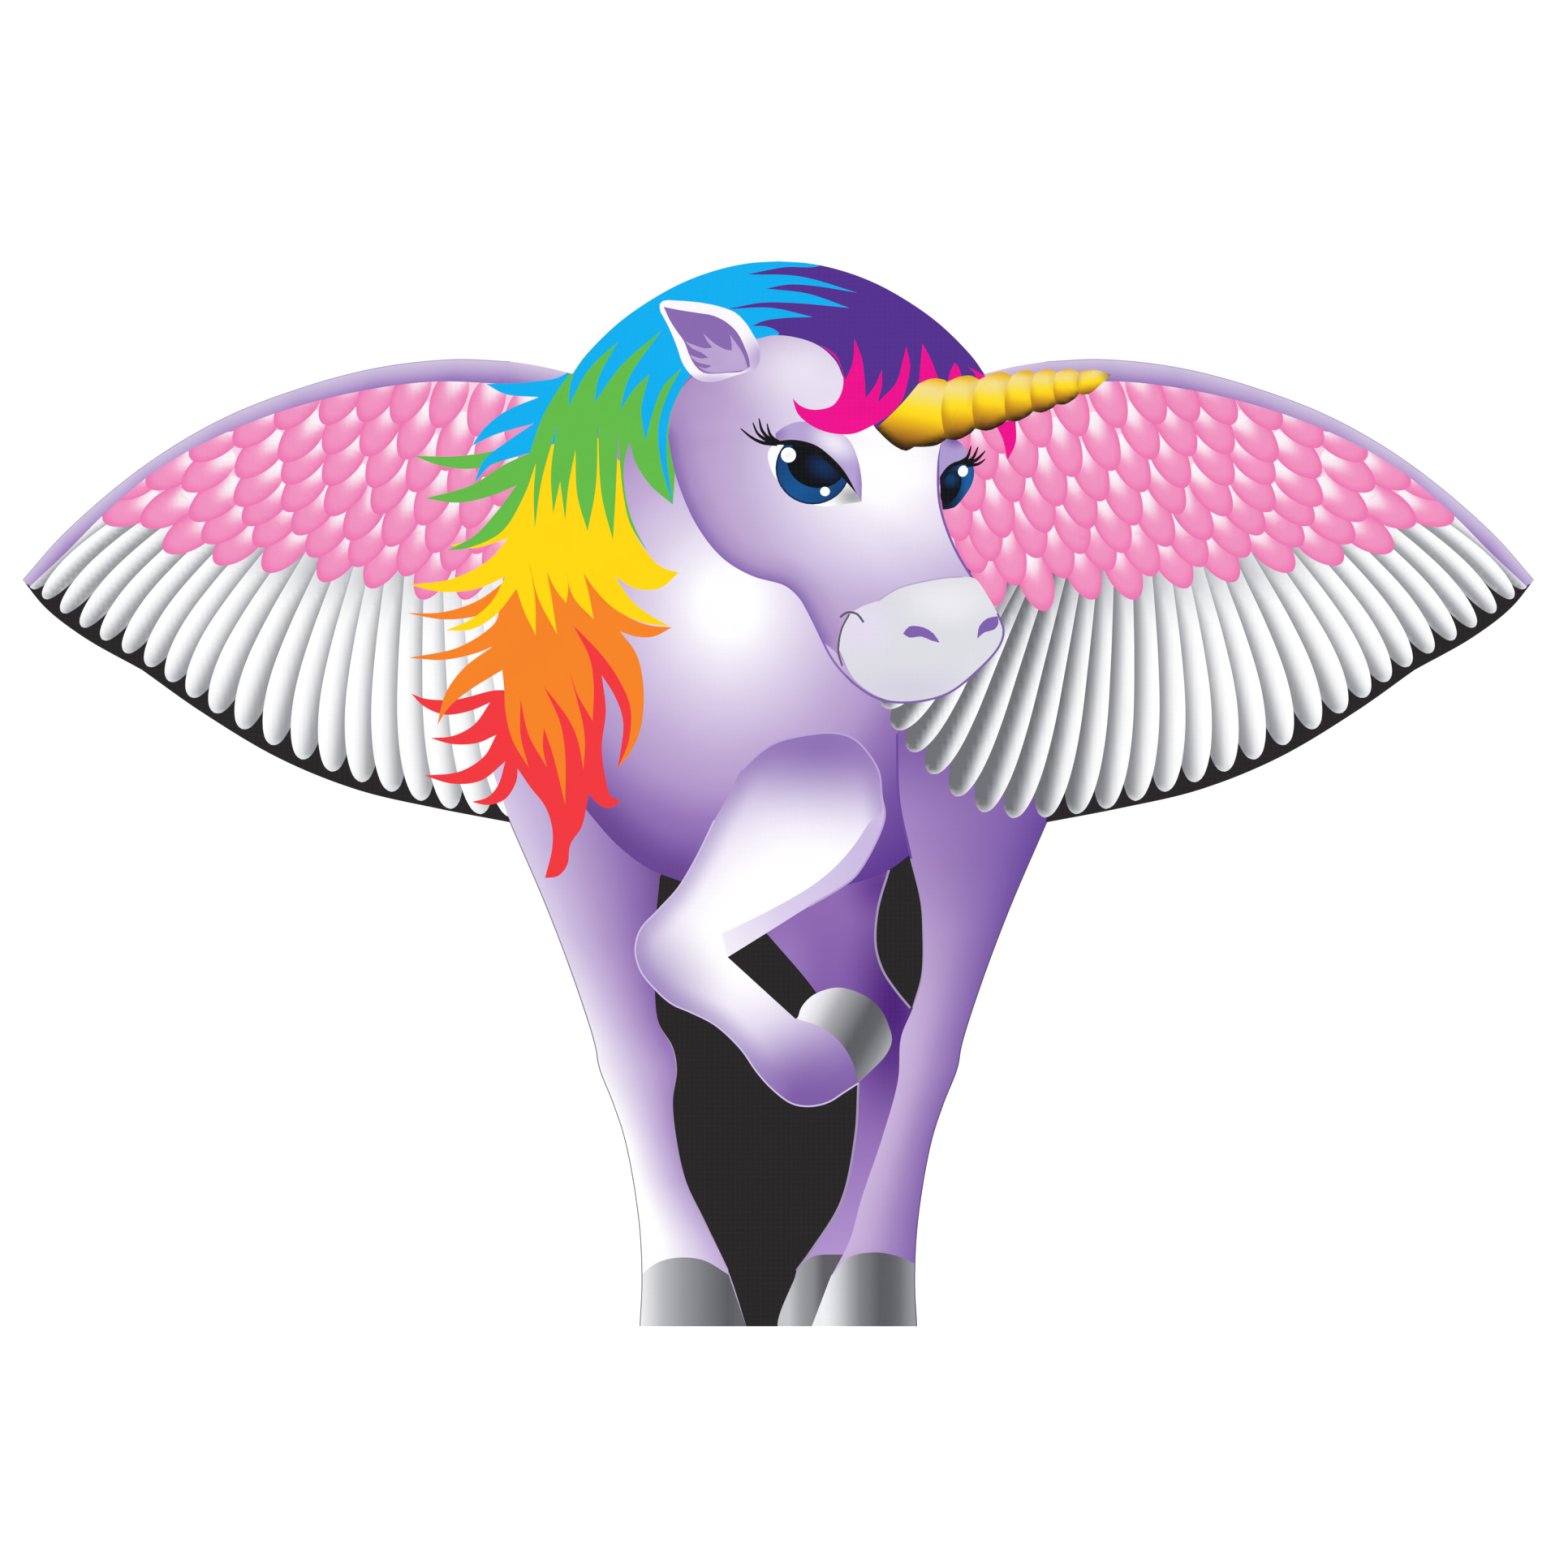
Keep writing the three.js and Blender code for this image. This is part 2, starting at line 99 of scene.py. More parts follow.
# Shares run from 0 for the feather at the tip of a wing to 1 for the one beside the body.
FEATHER_WIDTHS = ([0, 0.12, 0.3, 0.5, 0.75, 1], [20, 25, 33, 36, 38, 32])
FEATHER_BOWS = ([0, 0.5, 1], [1, 0.8, -0.5])
FEATHER_DEPTHS = {1: ([0.55, 0.72, 0.9], [0.8, 0.5, 0.4]), -1: ([0, 0.55, 0.72, 0.9], [0.8, 0.85, 1.05, 1.3])}
FEATHER_SPREADS = {1: ([0, 1], [0.62, 0.62]), -1: ([0.5, 0.78], [0.62, 1.0])}
# Place along a feather, and its width there, as shares of the whole.
FEATHER_SHAPE = [
    (-0.15, 0.62), (0.35, 0.86), (0.62, 1), (0.78, 0.97), (0.88, 0.83), (0.95, 0.6), (0.985, 0.36)]
# Upper edge of the lilac band along the leading edge.
BAND_EDGE = [
    (-745, -99), (-703, -52), (-626, 13), (-550, 59), (-473, 89.5), (-396, 110), (-320, 118.5),
    (-265, 116.4), (-203, 104)]
LEG_LEVELS = (HEM_Z, -330)
# Each side of a leg: heights, and how far the side lies from the middle of the sail there.
LEG_OUTER = (
    [HEM_Z, -789, -731, -654, -616, -580, -558, -501, -424, -338, -260],
    [137, 135, 138, 151, 163, 177, 181, 199, 228, 265, 300])
LEFT_LEG_INNER = (
    [HEM_Z, -779, -730, -691, -647, -612, -582, -535, -501, -391],
    [32, 50, 74, 91, 102, 104, 101, 118, 122, 117])
RIGHT_LEG_INNER = (
    [HEM_Z, -789, -750, -709, -647, -592, -518, -445, -374, -316, -251],
    [36, 51, 70, 82, 103, 117, 133, 143, 131, 119, 117])
# The horn's gold, from its lit top to its shaded underside.
GOLD = [
    (0, "e6ac12"), (0.05, "f2ca40"), (0.14, "f3dd8e"), (0.27, "f5de72"), (0.4, "fbdf2c"),
    (0.52, "ffd910"), (0.65, "e6ae14"), (0.78, "b87e18"), (0.9, "7c5011"), (1, "4a300c")]
COVERT_SIZE = (31, 17)  # half length and half width
COVERT_LEANS = (  # how many degrees a covert leans, by how far out it lies
    [-650, -600, -547, -500, -446, -400, -350, -262, -190],
    [66, 57, 50, 43, 36, 30, 25, 18, 12])
# The lowest point of each covert, row by row from the trailing one, from the body to the tip.
COVERTS = [
    [
        (-213, -125), (-261, -130), (-308, -119), (-349, -119), (-399, -108), (-445, -102), (-499, -93),
        (-546, -86), (-594, -75), (-615, -50), (-650, -48)],
    [
        (-196, -93), (-233, -105), (-281, -98), (-323, -91), (-366, -96), (-414, -87), (-456, -78),
        (-508, -68), (-557, -65)],
    [
        (-209, -81), (-254, -78), (-297, -74), (-338, -73), (-381, -67), (-419, -61), (-470, -56),
        (-518, -47), (-569, -43)],
    [
        (-179, -61), (-221, -58), (-262, -53), (-304, -49), (-349, -46), (-392, -35), (-438, -37),
        (-480, -33), (-526, -28), (-576, -14), (-610, -12), (-650, -22)],
    [
        (-192, -32), (-232, -23), (-274, -27), (-316, -22), (-357, -13), (-397, -9), (-440, -7),
        (-480, -6), (-525, 0), (-569, 16)],
    [
        (-161, -6), (-205, -1), (-245, 1), (-289, 2), (-327, 8), (-366, 19), (-403, 22), (-440, 24),
        (-483, 16), (-527, 30), (-542, 46)],
    [
        (-177, 19), (-220, 25), (-259, 31), (-296, 42), (-334, 50), (-373, 54), (-406, 56), (-443, 53),
        (-487, 48)]]
HORN_TOPS = [(167, 96), (198, 98), (230, 102), (253, 104), (274, 105), (296, 105)]
HORN_BASE = [(96, 50), (107, 39), (116, 32), (126, 28), (145, 32), (166, 40)]
HORN_FEET = [(165, 40), (194, 50), (225, 58), (251, 67), (274, 74), (296, 84)]


# ---- Drawing tools: flat shapes in the plane of the sail, in millimetres ----
def spline(points):
    """A smooth open curve through the points, as a list of closely spaced points."""
    if len(points) == 2:
        return [np.array(p, float) for p in points]
    p = [np.array(q, float) for q in points]
    p = [2 * p[0] - p[1]] + p + [2 * p[-1] - p[-2]]
    drawn = []
    for a, b, c, d in zip(p, p[1:], p[2:], p[3:]):
        ta = max(np.linalg.norm(b - a), 1e-6) ** 0.5
        tb = ta + max(np.linalg.norm(c - b), 1e-6) ** 0.5
        tc = tb + max(np.linalg.norm(d - c), 1e-6) ** 0.5
        count = max(2, int(np.linalg.norm(c - b) / CURVE_STEP))
        for i in range(count):
            t = ta + (tb - ta) * i / count
            ab = (a * (ta - t) + b * t) / ta
            bc = (b * (tb - t) + c * (t - ta)) / (tb - ta)
            cd = (c * (tc - t) + d * (t - tb)) / (tc - tb)
            abc = (ab * (tb - t) + bc * t) / tb
            bcd = (bc * (tc - t) + cd * (t - ta)) / (tc - ta)
            drawn.append((abc * (tb - t) + bcd * (t - ta)) / (tb - ta))
    return drawn + [p[-2]]


def outline(*stretches):
    """A closed outline: smooth stretches that meet in corners."""
    drawn = []
    for stretch in stretches:
        if drawn:
            stretch = [tuple(drawn[-1])] + list(stretch)
            drawn.pop()
        drawn += spline(stretch)
    return np.array(drawn)


def rgb(code):
    """A printed colour from its hex code, as linear red, green and blue."""
    value = np.array([int(code[i:i + 2], 16) for i in (0, 2, 4)]) / 255
    return np.where(value <= 0.04045, value / 12.92, ((value + 0.055) / 1.055) ** 2.4)


def eased(t):
    """Runs smoothly from 0 to 1 as t does."""
    t = np.clip(t, 0, 1)
    return t * t * (3 - 2 * t)


def ramp(t, stops):
    """The colour at t along a list of (position, hex code)."""
    places = [place for place, _ in stops]
    codes = np.array([rgb(code) for _, code in stops])
    return np.stack([np.interp(t, places, codes[:, i]) for i in range(3)], axis=-1)


def plain(code):
    """One colour all over."""
    return lambda p: np.tile(rgb(code), (len(p), 1))


def along(start, end, *stops):
    """Colour that changes from one point to another."""
    start, end = np.array(start, float), np.array(end, float)
    way = end - start
    return lambda p: ramp((p - start) @ way / (way @ way), stops)


def across(left, right, *stops):
    """Colour that changes between two upright curves, each a list of (x, z) from low to high."""
    def paint(p):
        a = np.interp(p[:, 1], [z for _, z in left], [x for x, _ in left])
        b = np.interp(p[:, 1], [z for _, z in right], [x for x, _ in right])
        return ramp((p[:, 0] - a) / np.maximum(b - a, 1), stops)
    return paint


def radial(centre, radii, *stops):
    """Colour that changes outward from a centre."""
    centre, radii = np.array(centre, float), np.array(radii, float)
    return lambda p: ramp(np.linalg.norm((p - centre) / radii, axis=1), stops)


def distance_to(curve, p):
    """How far each point lies from a smooth curve."""
    path = np.array(spline(curve))
    least = np.full(len(p), np.inf)
    for a, b in zip(path, path[1:]):
        way = b - a
        t = np.clip((p - a) @ way / max(way @ way, 1e-9), 0, 1)
        least = np.minimum(least, np.linalg.norm(p - a - t[:, None] * way, axis=1))
    return least


def glow(curve, reach, *stops):
    """Colour that changes with the distance from a curve."""
    return lambda p: ramp(distance_to(curve, p) / reach, stops)


def rimmed(base, curve, reach, code, strength):
    """A paint that deepens softly toward a curve."""
    def paint(p):
        weight = strength * eased(1 - distance_to(curve, p) / reach)
        colour = base(p)
        return colour + (rgb(code) - colour) * weight[:, None]
    return paint


def airbrushed(base, *spots):
    """A paint with soft spots over it, each (centre, radii across and up, tilt, hex code, strength)."""
    def paint(p):
        colour = base(p)
        for centre, radii, tilt, code, strength in spots:
            d = p - np.array(centre, float)
            c, s = math.cos(math.radians(tilt)), math.sin(math.radians(tilt))
            r = np.hypot((d[:, 0] * c + d[:, 1] * s) / radii[0], (d[:, 1] * c - d[:, 0] * s) / radii[1])
            weight = strength * eased(1 - r)
            colour = colour + (rgb(code) - colour) * weight[:, None]
        return colour
    return paint


class Picture:
    """The print, as shapes laid one over another; each has an outline and a paint."""

    def __init__(self):
        self.shapes = []

    def add(self, shape, paint):
        self.shapes.append((np.asarray(shape, float), paint))

    def fill(self, paint, *stretches):
        """A shape whose outline is smooth stretches that meet in corners."""
        self.add(outline(*stretches), paint)

    def line(self, points, width, code, taper=False):
        """A thin stroke along a smooth curve, drawn out to a point at its far end when tapered."""
        path = np.array(spline(points))
        way = np.gradient(path, axis=0)
        side = np.stack([-way[:, 1], way[:, 0]], axis=1)
        side /= np.maximum(np.linalg.norm(side, axis=1), 1e-9)[:, None]
        half = np.full(len(path), width / 2)
        if taper:
            half *= np.linspace(1, 0.08, len(path)) ** 0.55
        edge = np.vstack([path + side * half[:, None], (path - side * half[:, None])[::-1]])
        self.add(edge, plain(code))


def disc(centre, across_r, up_r, tilt=0):
    """An ellipse, tilted by some degrees."""
    a = np.linspace(0, 2 * np.pi, 36, endpoint=False)
    c, s = math.cos(math.radians(tilt)), math.sin(math.radians(tilt))
    x, z = across_r * np.cos(a), up_r * np.sin(a)
    return np.stack([centre[0] + x * c - z * s, centre[1] + x * s + z * c], axis=1)


# ---- The print ----
def wing_print(picture, mirror):
    """One wing: white flight feathers, rows of pink coverts over them, and the lilac leading edge.

    Its curves are those of the left wing; mirror is 1 for the left wing and -1 for the right one.
    """
    def here(points):
        return [(mirror * x, z) for x, z in points]

    tips = spline_by_count(
        [
            (-737, -107), (-687, -145), (-622, -184), (-556, -230), (-470, -276), (-381, -308),
            (-293, -330), (-201, -328), (-130, -268), (-95, -208)],
        FEATHERS)
    roots = spline_by_count(
        [
            (-647, -30), (-578, -35), (-524, -54), (-478, -80), (-423, -88), (-374, -88), (-318, -92),
            (-270, -97), (-215, -118), (-179, -144)],
        FEATHERS)
    for i in range(FEATHERS):
        feather(picture, mirror, roots[i], tips[i], i / (FEATHERS - 1))

    picture.fill(
        plain("f7cfe1"),
        here([
            (-668, -30), (-626, 13), (-550, 56), (-473, 86), (-396, 106), (-320, 114), (-245, 112),
            (-150, 96)]),
        here([(-150, -80)]),
        here([(-213, -80), (-308, -78), (-399, -68), (-499, -55), (-594, -38), (-668, -30)]))
    for row in COVERTS:
        for low in reversed(row):
            covert(picture, mirror, np.array(low, float))

    band = outline(
        here([
            (-748, -100), (-684, -31), (-626, 16), (-569, 53), (-492, 87), (-415, 109), (-338, 122),
            (-262, 120), (-198, 108)]),
        here([(-207, 87)]),
        here([
            (-289, 95), (-346, 96), (-422, 85), (-499, 64), (-568, 35), (-614, 8), (-660, -30),
            (-703, -73), (-737, -105)]))
    picture.add(band, band_paint(mirror))


def spline_by_count(points, count):
    """Evenly numbered places along a smooth curve through the points."""
    p = np.array(points, float)
    drawn = []
    for t in np.linspace(0, len(p) - 1, count):
        k = min(int(t), len(p) - 2)
        f = t - k
        a, b = p[max(k - 1, 0)], p[k]
        c, d = p[k + 1], p[min(k + 2, len(p) - 1)]
        square, cube = 2 * a - 5 * b + 4 * c - d, 3 * b - a - 3 * c + d
        drawn.append(0.5 * (2 * b + (c - a) * f + square * f ** 2 + cube * f ** 3))
    return np.array(drawn)


def frame_of(root, tip):
    """Unit vectors along a feather, from root to tip, and to its inner side."""
    way = tip - root
    length = np.linalg.norm(way)
    way = way / length
    return way, np.array([-way[1], way[0]]), length


def feather(picture, mirror, root, tip, share):
    """A round white flight feather, grey on its inner side and where it comes out from under the coverts."""
    way, inner, length = frame_of(root, tip)
    half = np.interp(share, *FEATHER_WIDTHS) / 2
    bow = 0.035 * length * np.interp(share, *FEATHER_BOWS)
    depth = np.interp(share, *FEATHER_DEPTHS[mirror])
    spread = np.interp(share, *FEATHER_SPREADS[mirror])

    def spot(t, s):
        return root + way * length * t + inner * (s - bow * math.sin(math.pi * min(t, 1)))

    def paint(p):
        q = p * [mirror, 1] - root
        t = (q @ way) / length
        s = ((q @ inner) + bow * np.sin(np.pi * np.clip(t, 0, 1))) / half
        shade = eased((s + spread) / 1.25) * depth
        shade = np.maximum(shade, (0.62 + 0.3 * s) * depth * eased((0.36 - t) / 0.34))
        rim = eased((np.hypot(s, np.maximum((t - 0.9) / 0.1, 0)) - 0.72) / 0.3) * eased((t - 0.55) / 0.4)
        shade = shade * (1 - 0.7 * rim) + 0.2 * rim
        return ramp(shade, [(0, "ffffff"), (0.3, "e6e7e9"), (0.65, "a9abaf"), (1, "6d6f73")])

    left = [spot(t, -half * w) for t, w in FEATHER_SHAPE]
    right = [spot(t, half * w) for t, w in FEATHER_SHAPE[::-1]]
    points = [(mirror * x, z) for x, z in left + [spot(1, 0)] + right]
    picture.fill(paint, points, [points[0]])


def covert(picture, mirror, low):
    """A pink covert whose lowest point is given: white where it comes out from under the next row."""
    lean = math.radians(np.interp(low[0], *COVERT_LEANS))
    way = np.array([-math.sin(lean), -math.cos(lean)])
    across_way = np.array([-way[1], way[0]])
    long, wide = COVERT_SIZE
    reach = long ** 2 * -way[1] * way + wide ** 2 * -across_way[1] * across_way
    middle = low - reach / math.hypot(long * way[1], wide * across_way[1])

    def paint(p):
        q = p * [mirror, 1] - middle
        u = (q @ way) / long
        s = (q @ across_way) / wide
        white = eased((0.42 - u - 1.5 * s ** 2) / 1.15)
        rim = eased((np.hypot(u, s) - 0.6) / 0.4) * eased((u + 0.7) / 0.6)
        return ramp(
            1 - white + 0.35 * rim,
            [(0, "f9f1f6"), (0.3, "f6d6e5"), (0.65, "f3a7cb"), (1, "ef90be"), (1.35, "ec72af")])

    a = np.linspace(0, 2 * np.pi, 40, endpoint=False)
    taper = 1 - 0.12 * np.cos(a)
    loop = middle + np.outer(long * np.cos(a), way) + np.outer(wide * np.sin(a) * taper, across_way)
    picture.add(loop * [mirror, 1], paint)


def band_paint(mirror):
    """Lilac that deepens down from the leading edge."""
    xs, tops = np.array(BAND_EDGE).T

    def paint(p):
        depth = np.interp(p[:, 0] * mirror, xs, tops) - p[:, 1]
        return ramp(
            depth / 26,
            [
                (0, "d0c2de"), (0.1, "c9bad9"), (0.4, "b7a2cf"), (0.58, "aa8cc5"), (0.75, "9275b8"),
                (1.1, "8468ae")])
    return paint


def body_print(picture):
    """Chest and standing legs; the raised leg comes over them later."""
    far_leg_print(picture)
    gaps_print(picture)
    left_leg_print(picture)
    right_leg_print(picture)
    chest_print(picture)


def far_leg_print(picture):
    """The far hind leg and its hoof, in the shadow behind the raised leg."""
    picture.fill(
        airbrushed(
            along(
                (33, -408), (41, -776), (0, "8e68b0"), (0.45, "7b52a6"), (0.7, "9673b8"), (1, "b294ce")),
            ((113, -520), (60, 152), 0, "4a1a78", 1.0),
            ((101, -400), (48, 48), 0, "5b2d8c", 0.9),
            ((1, -480), (48, 72), 0, "a083c4", 0.6)),
        [(-23, -376), (-23, -436), (-11, -448)],
        [(36, -504), (65, -552)],
        [(79, -595), (76, -647), (62, -712), (34, -758), (18, -780)],
        [(3, -840)],
        [(41, -840)],
        [(89, -728), (137, -568), (153, -472), (137, -376)],
        [(-23, -376)])
    picture.fill(
        along((10, -808), (43, -808), (0, "c4c5c8"), (0.35, "9a9b9f"), (0.75, "85868a"), (1, "5c5b60")),
        [(20, -777), (34, -766), (65, -764)],
        [(65, -840)],
        [(1, -840), (20, -777)])


def gaps_print(picture):
    """The small gap beside the raised leg, and the pale lines along the edges of both gaps."""
    picture.fill(
        plain(BLACK), [(109, -385), (131, -369), (153, -408), (153, -488), (133, -523)],
        [(116, -504), (103, -484), (96, -460), (98, -424), (109, -385)])
    for gap_edge in (
        [(131, -374), (141, -416), (143, -445), (142, -488), (133, -521)],
        [(130, -521), (116, -504), (103, -484), (96, -460), (98, -424), (109, -385)],
        [(79, -595), (76, -647), (62, -712), (34, -758), (18, -780)],
        [
            (-118, -392), (-123, -448), (-123, -501), (-119, -536), (-105, -560), (-101, -582),
            (-105, -612), (-102, -647), (-92, -692), (-74, -730), (-50, -780)]):
        picture.line(gap_edge, 2.2, "a294b4")


def left_leg_print(picture):
    """The near left leg and its hoof."""
    picture.fill(
        left_leg_paint, [(-287, -272), (-264, -338)], [(-271, -376), (-271, -840), (-30, -840)],
        [
            (-50, -779), (-74, -730), (-91, -692), (-102, -647), (-104, -612), (-101, -582),
            (-105, -560), (-118, -536), (-122, -501), (-122, -448), (-117, -392)],
        [(-95, -360), (-159, -272)], [(-287, -272)])
    picture.fill(
        along(
            (-135, -808), (-39, -808), (0, "eeeef0"), (0.22, "b5b6ba"), (0.44, "929397"),
            (0.67, "76777b"), (0.9, "58595d"), (1, "646468")),
        [(-140, -788), (-119, -772), (-97, -767), (-73, -770), (-49, -784)],
        [(-30, -840)],
        [(-140, -840)],
        [(-140, -788)])


def right_leg_print(picture):
    """The near right leg and its hoof."""
    picture.fill(
        right_leg_paint,
        [
            (117, -240), (119, -316), (131, -374), (141, -416), (143, -445), (142, -488), (133, -520),
            (121, -550), (118, -592), (103, -647), (82, -709), (70, -751), (51, -789), (34, -840)],
        [(273, -840), (273, -376)], [(264, -338), (297, -240)], [(117, -240)])
    picture.fill(
        along(
            (47, -808), (134, -808), (0, "eeeff2"), (0.15, "cbccd0"), (0.27, "a2a3a7"),
            (0.38, "808185"), (0.6, "595a5e"), (0.72, "5b5c60"), (0.83, "68696d"), (1, "97999b")),
        [(52, -785), (69, -767), (93, -762), (115, -765), (145, -778)],
        [(145, -840)],
        [(31, -840)],
        [(52, -785)])


def chest_print(picture):
    """The white chest, lilac towards its edge."""
    picture.fill(
        rimmed(
            radial(
                (-49, -123), (69, 80), (0, "ffffff"), (0.4, "fdfcff"), (0.75, "ece6f3"),
                (1.15, "dbcee7"), (1.5, "cdbcde"), (1.85, "bfa8d3"), (2.3, "b096c9"), (2.7, "9573b7"),
                (3.3, "7450a0"), (4, "5c3490")),
            [(-185, -331), (-158, -361), (-127, -384), (-97, -396)],
            44,
            "64408c",
            0.8),
        [
            (-233, -8), (-247, -168), (-243, -248), (-207, -302), (-185, -331), (-158, -361),
            (-127, -384), (-97, -396)],
        [(-47, -404), (33, -406)],
        [(82, -396), (109, -385), (131, -369)],
        [(119, -316), (117, -251)],
        [(161, -168), (113, 24), (-47, 132), (-151, 96), (-233, -8)])
    picture.line([(117, -251), (119, -316), (131, -374)], 2.2, "6b489c")


def place_on_leg(p, first, second):
    """How far each point lies from one side of a leg to the other, and how far down the leg, as shares."""
    t = np.clip((p[:, 0] - first) / (second - first), 0, 1)
    low, high = LEG_LEVELS
    return t, np.clip((high - p[:, 1]) / (high - low), 0, 1)


def left_leg_paint(p):
    """White on the outer side and lilac on the inner one; the white widens towards the hoof."""
    outer = -np.interp(p[:, 1], *LEG_OUTER)
    inner = -np.interp(p[:, 1], *LEFT_LEG_INNER)
    t, down = place_on_leg(p, outer, inner)
    start = np.interp(down, [0.06, 0.25, 0.47, 0.72, 0.83], [0.3, 0.26, 0.08, -0.08, -0.2])
    return ramp(
        start + 0.68 * t,
        [
            (0, "ffffff"), (0.2, "e4dbed"), (0.4, "c8b6dc"), (0.6, "ae94c6"), (0.8, "8f6eb3"),
            (1, "6a468e")])


def right_leg_paint(p):
    """Deep lilac at the thigh, in the shadow of the wing, and paler towards the hoof."""
    inner = np.interp(p[:, 1], *RIGHT_LEG_INNER)
    outer = np.interp(p[:, 1], *LEG_OUTER)
    t, down = place_on_leg(p, inner, outer)
    upper = ramp(t, [(0, "a383c1"), (0.35, "9373b4"), (0.7, "8361ad"), (1, "634299")])
    lower = ramp(t, [(0, "c8b3da"), (0.3, "bca3d0"), (0.62, "9f83bd"), (1, "8260ab")])
    shadow = eased((p[:, 1] + 340) / 90)[:, None]
    leg = upper + (lower - upper) * eased(down / 0.5)[:, None]
    return leg + (rgb("7650a2") - leg) * shadow * 0.8


def raised_leg_print(picture):
    """The raised foreleg: white along its middle, lilac towards its edge, with its hoof."""
    front = [
        (-15, -267), (-1, -259), (22, -253), (54, -250), (73, -255), (87, -268), (99, -288),
        (102, -312), (105, -332), (95, -360), (76, -391), (62, -402), (30, -421), (-13, -448),
        (-50, -471)]
    back = [
        (65, -604), (49, -614), (30, -618), (13, -615), (-7, -600), (-22, -583), (-35, -564),
        (-50, -548), (-65, -536), (-87, -525), (-105, -517), (-122, -502), (-136, -484), (-141, -463),
        (-136, -444), (-118, -424), (-99, -403), (-81, -373), (-63, -336), (-47, -308), (-36, -286),
        (-15, -267)]
    core = [(69, -398), (21, -390), (-19, -406), (-50, -448), (-35, -472)]
    skin = glow(
        core, 80, (0, "ffffff"), (0.3, "fdfcff"), (0.6, "f2edf8"), (0.95, "dcd3ea"), (1.25, "c5b4da"),
        (1.55, "aa92c5"), (1.85, "8d70b2"), (2.2, "7a589f"))
    skin = airbrushed(
        skin, ((39, -238), (132, 110), 0, "7f5dab", 0.85), ((26, -630), (100, 112), 0, "7b58a6", 1.0),
        ((-135, -520), (100, 108), 0, "8a6bb0", 0.7))
    shaded_edge = front[8::-1] + back[-2:3:-1]
    fetlock = [(33, -520), (73, -536), (97, -560), (81, -592)]
    picture.fill(rimmed(skin, shaded_edge, 24, "967bbb", 0.55), front, [(17, -532)], fetlock, back)
    picture.fill(
        along((81, -360), (-55, -460), (0, "c9b9e0"), (0.6, "d9cdea"), (1, "f3eef8")),
        [
            (100, -308), (102, -328), (91, -337), (76, -359), (58, -380), (34, -400), (-7, -424),
            (-56, -448)],
        [front[-1]],
        front[-2:7:-1] + [(100, -308)])
    picture.line([(-36, -286)] + front[:13], 1.8, "b9a3d4")
    picture.line([(79, -595)] + back[:19], 1.6, "cfc0e3")
    picture.fill(
        along(
            (25, -525), (105, -569), (0, "f5f4fa"), (0.13, "dddee0"), (0.28, "a9a9ad"),
            (0.44, "86878c"), (0.6, "595a5e"), (0.76, "5f6064"), (0.9, "86878b"), (1, "a9aaae")),
        [
            (19, -532), (23, -520), (35, -508), (57, -501), (74, -504), (90, -512), (102, -524),
            (109, -539), (112, -552), (107, -566), (79, -595)],
        [(73, -574), (61, -555), (42, -540), (19, -532)])


def mane_print(picture):
    """The mane, colour over colour from the lowest locks up."""
    red_hair(picture)
    orange_hair(picture)
    yellow_hair(picture)
    far_wisps(picture)
    green_hair(picture)
    blue_hair(picture)


def red_hair(picture):
    picture.fill(
        plain("f0353c"), [(-255, -209), (-279, -208), (-318, -217), (-349, -216), (-362, -211)],
        [(-349, -224), (-328, -232), (-303, -228), (-284, -220)],
        [(-300, -242), (-321, -253), (-343, -255)], [(-321, -261), (-297, -260), (-278, -252)],
        [(-290, -273), (-314, -288), (-349, -292)], [(-321, -300), (-293, -297), (-269, -278)],
        [(-276, -301), (-286, -313), (-302, -318)],
        [(-286, -321), (-269, -315), (-258, -297), (-257, -285)],
        [(-244, -304), (-230, -322), (-223, -343), (-223, -364), (-230, -393)],
        [(-217, -391), (-208, -380), (-205, -360), (-194, -343), (-189, -322), (-187, -310)],
        [(-175, -322), (-165, -324), (-155, -317)],
        [(-165, -312), (-171, -291), (-174, -263), (-170, -228), (-174, -193)],
        [(-161, -214), (-153, -239), (-158, -285)],
        [(-143, -256), (-142, -208), (-175, -152), (-207, -128)], [(-255, -152)], [(-255, -209)])


def orange_hair(picture):
    picture.fill(
        plain("f58220"), [(-255, -88), (-269, -100), (-297, -120), (-331, -131), (-366, -132)],
        [(-331, -138), (-303, -136), (-275, -128)], [(-279, -141), (-314, -165), (-364, -176)],
        [(-331, -178), (-300, -172), (-282, -165)], [(-310, -186), (-328, -211), (-336, -242)],
        [(-324, -224), (-303, -207), (-272, -188)],
        [(-270, -208), (-269, -228), (-262, -257), (-246, -284)], [(-254, -252), (-254, -217)],
        [(-246, -252), (-228, -284)], [(-232, -264), (-231, -245)], [(-222, -272), (-210, -321)],
        [(-210, -272), (-215, -240), (-231, -204)], [(-207, -236), (-198, -256), (-192, -286)],
        [(-191, -252), (-206, -188)], [(-198, -212), (-183, -238)],
        [(-182, -204), (-186, -176), (-202, -144)],
        [(-175, -172), (-158, -196), (-146, -224), (-147, -256), (-158, -285)],
        [(-144, -266), (-135, -242), (-133, -204), (-140, -172), (-156, -150)],
        [(-140, -155), (-123, -155), (-105, -146)], [(-131, -143), (-158, -129), (-175, -108)],
        [(-191, -80)], [(-255, -56)], [(-255, -88)])


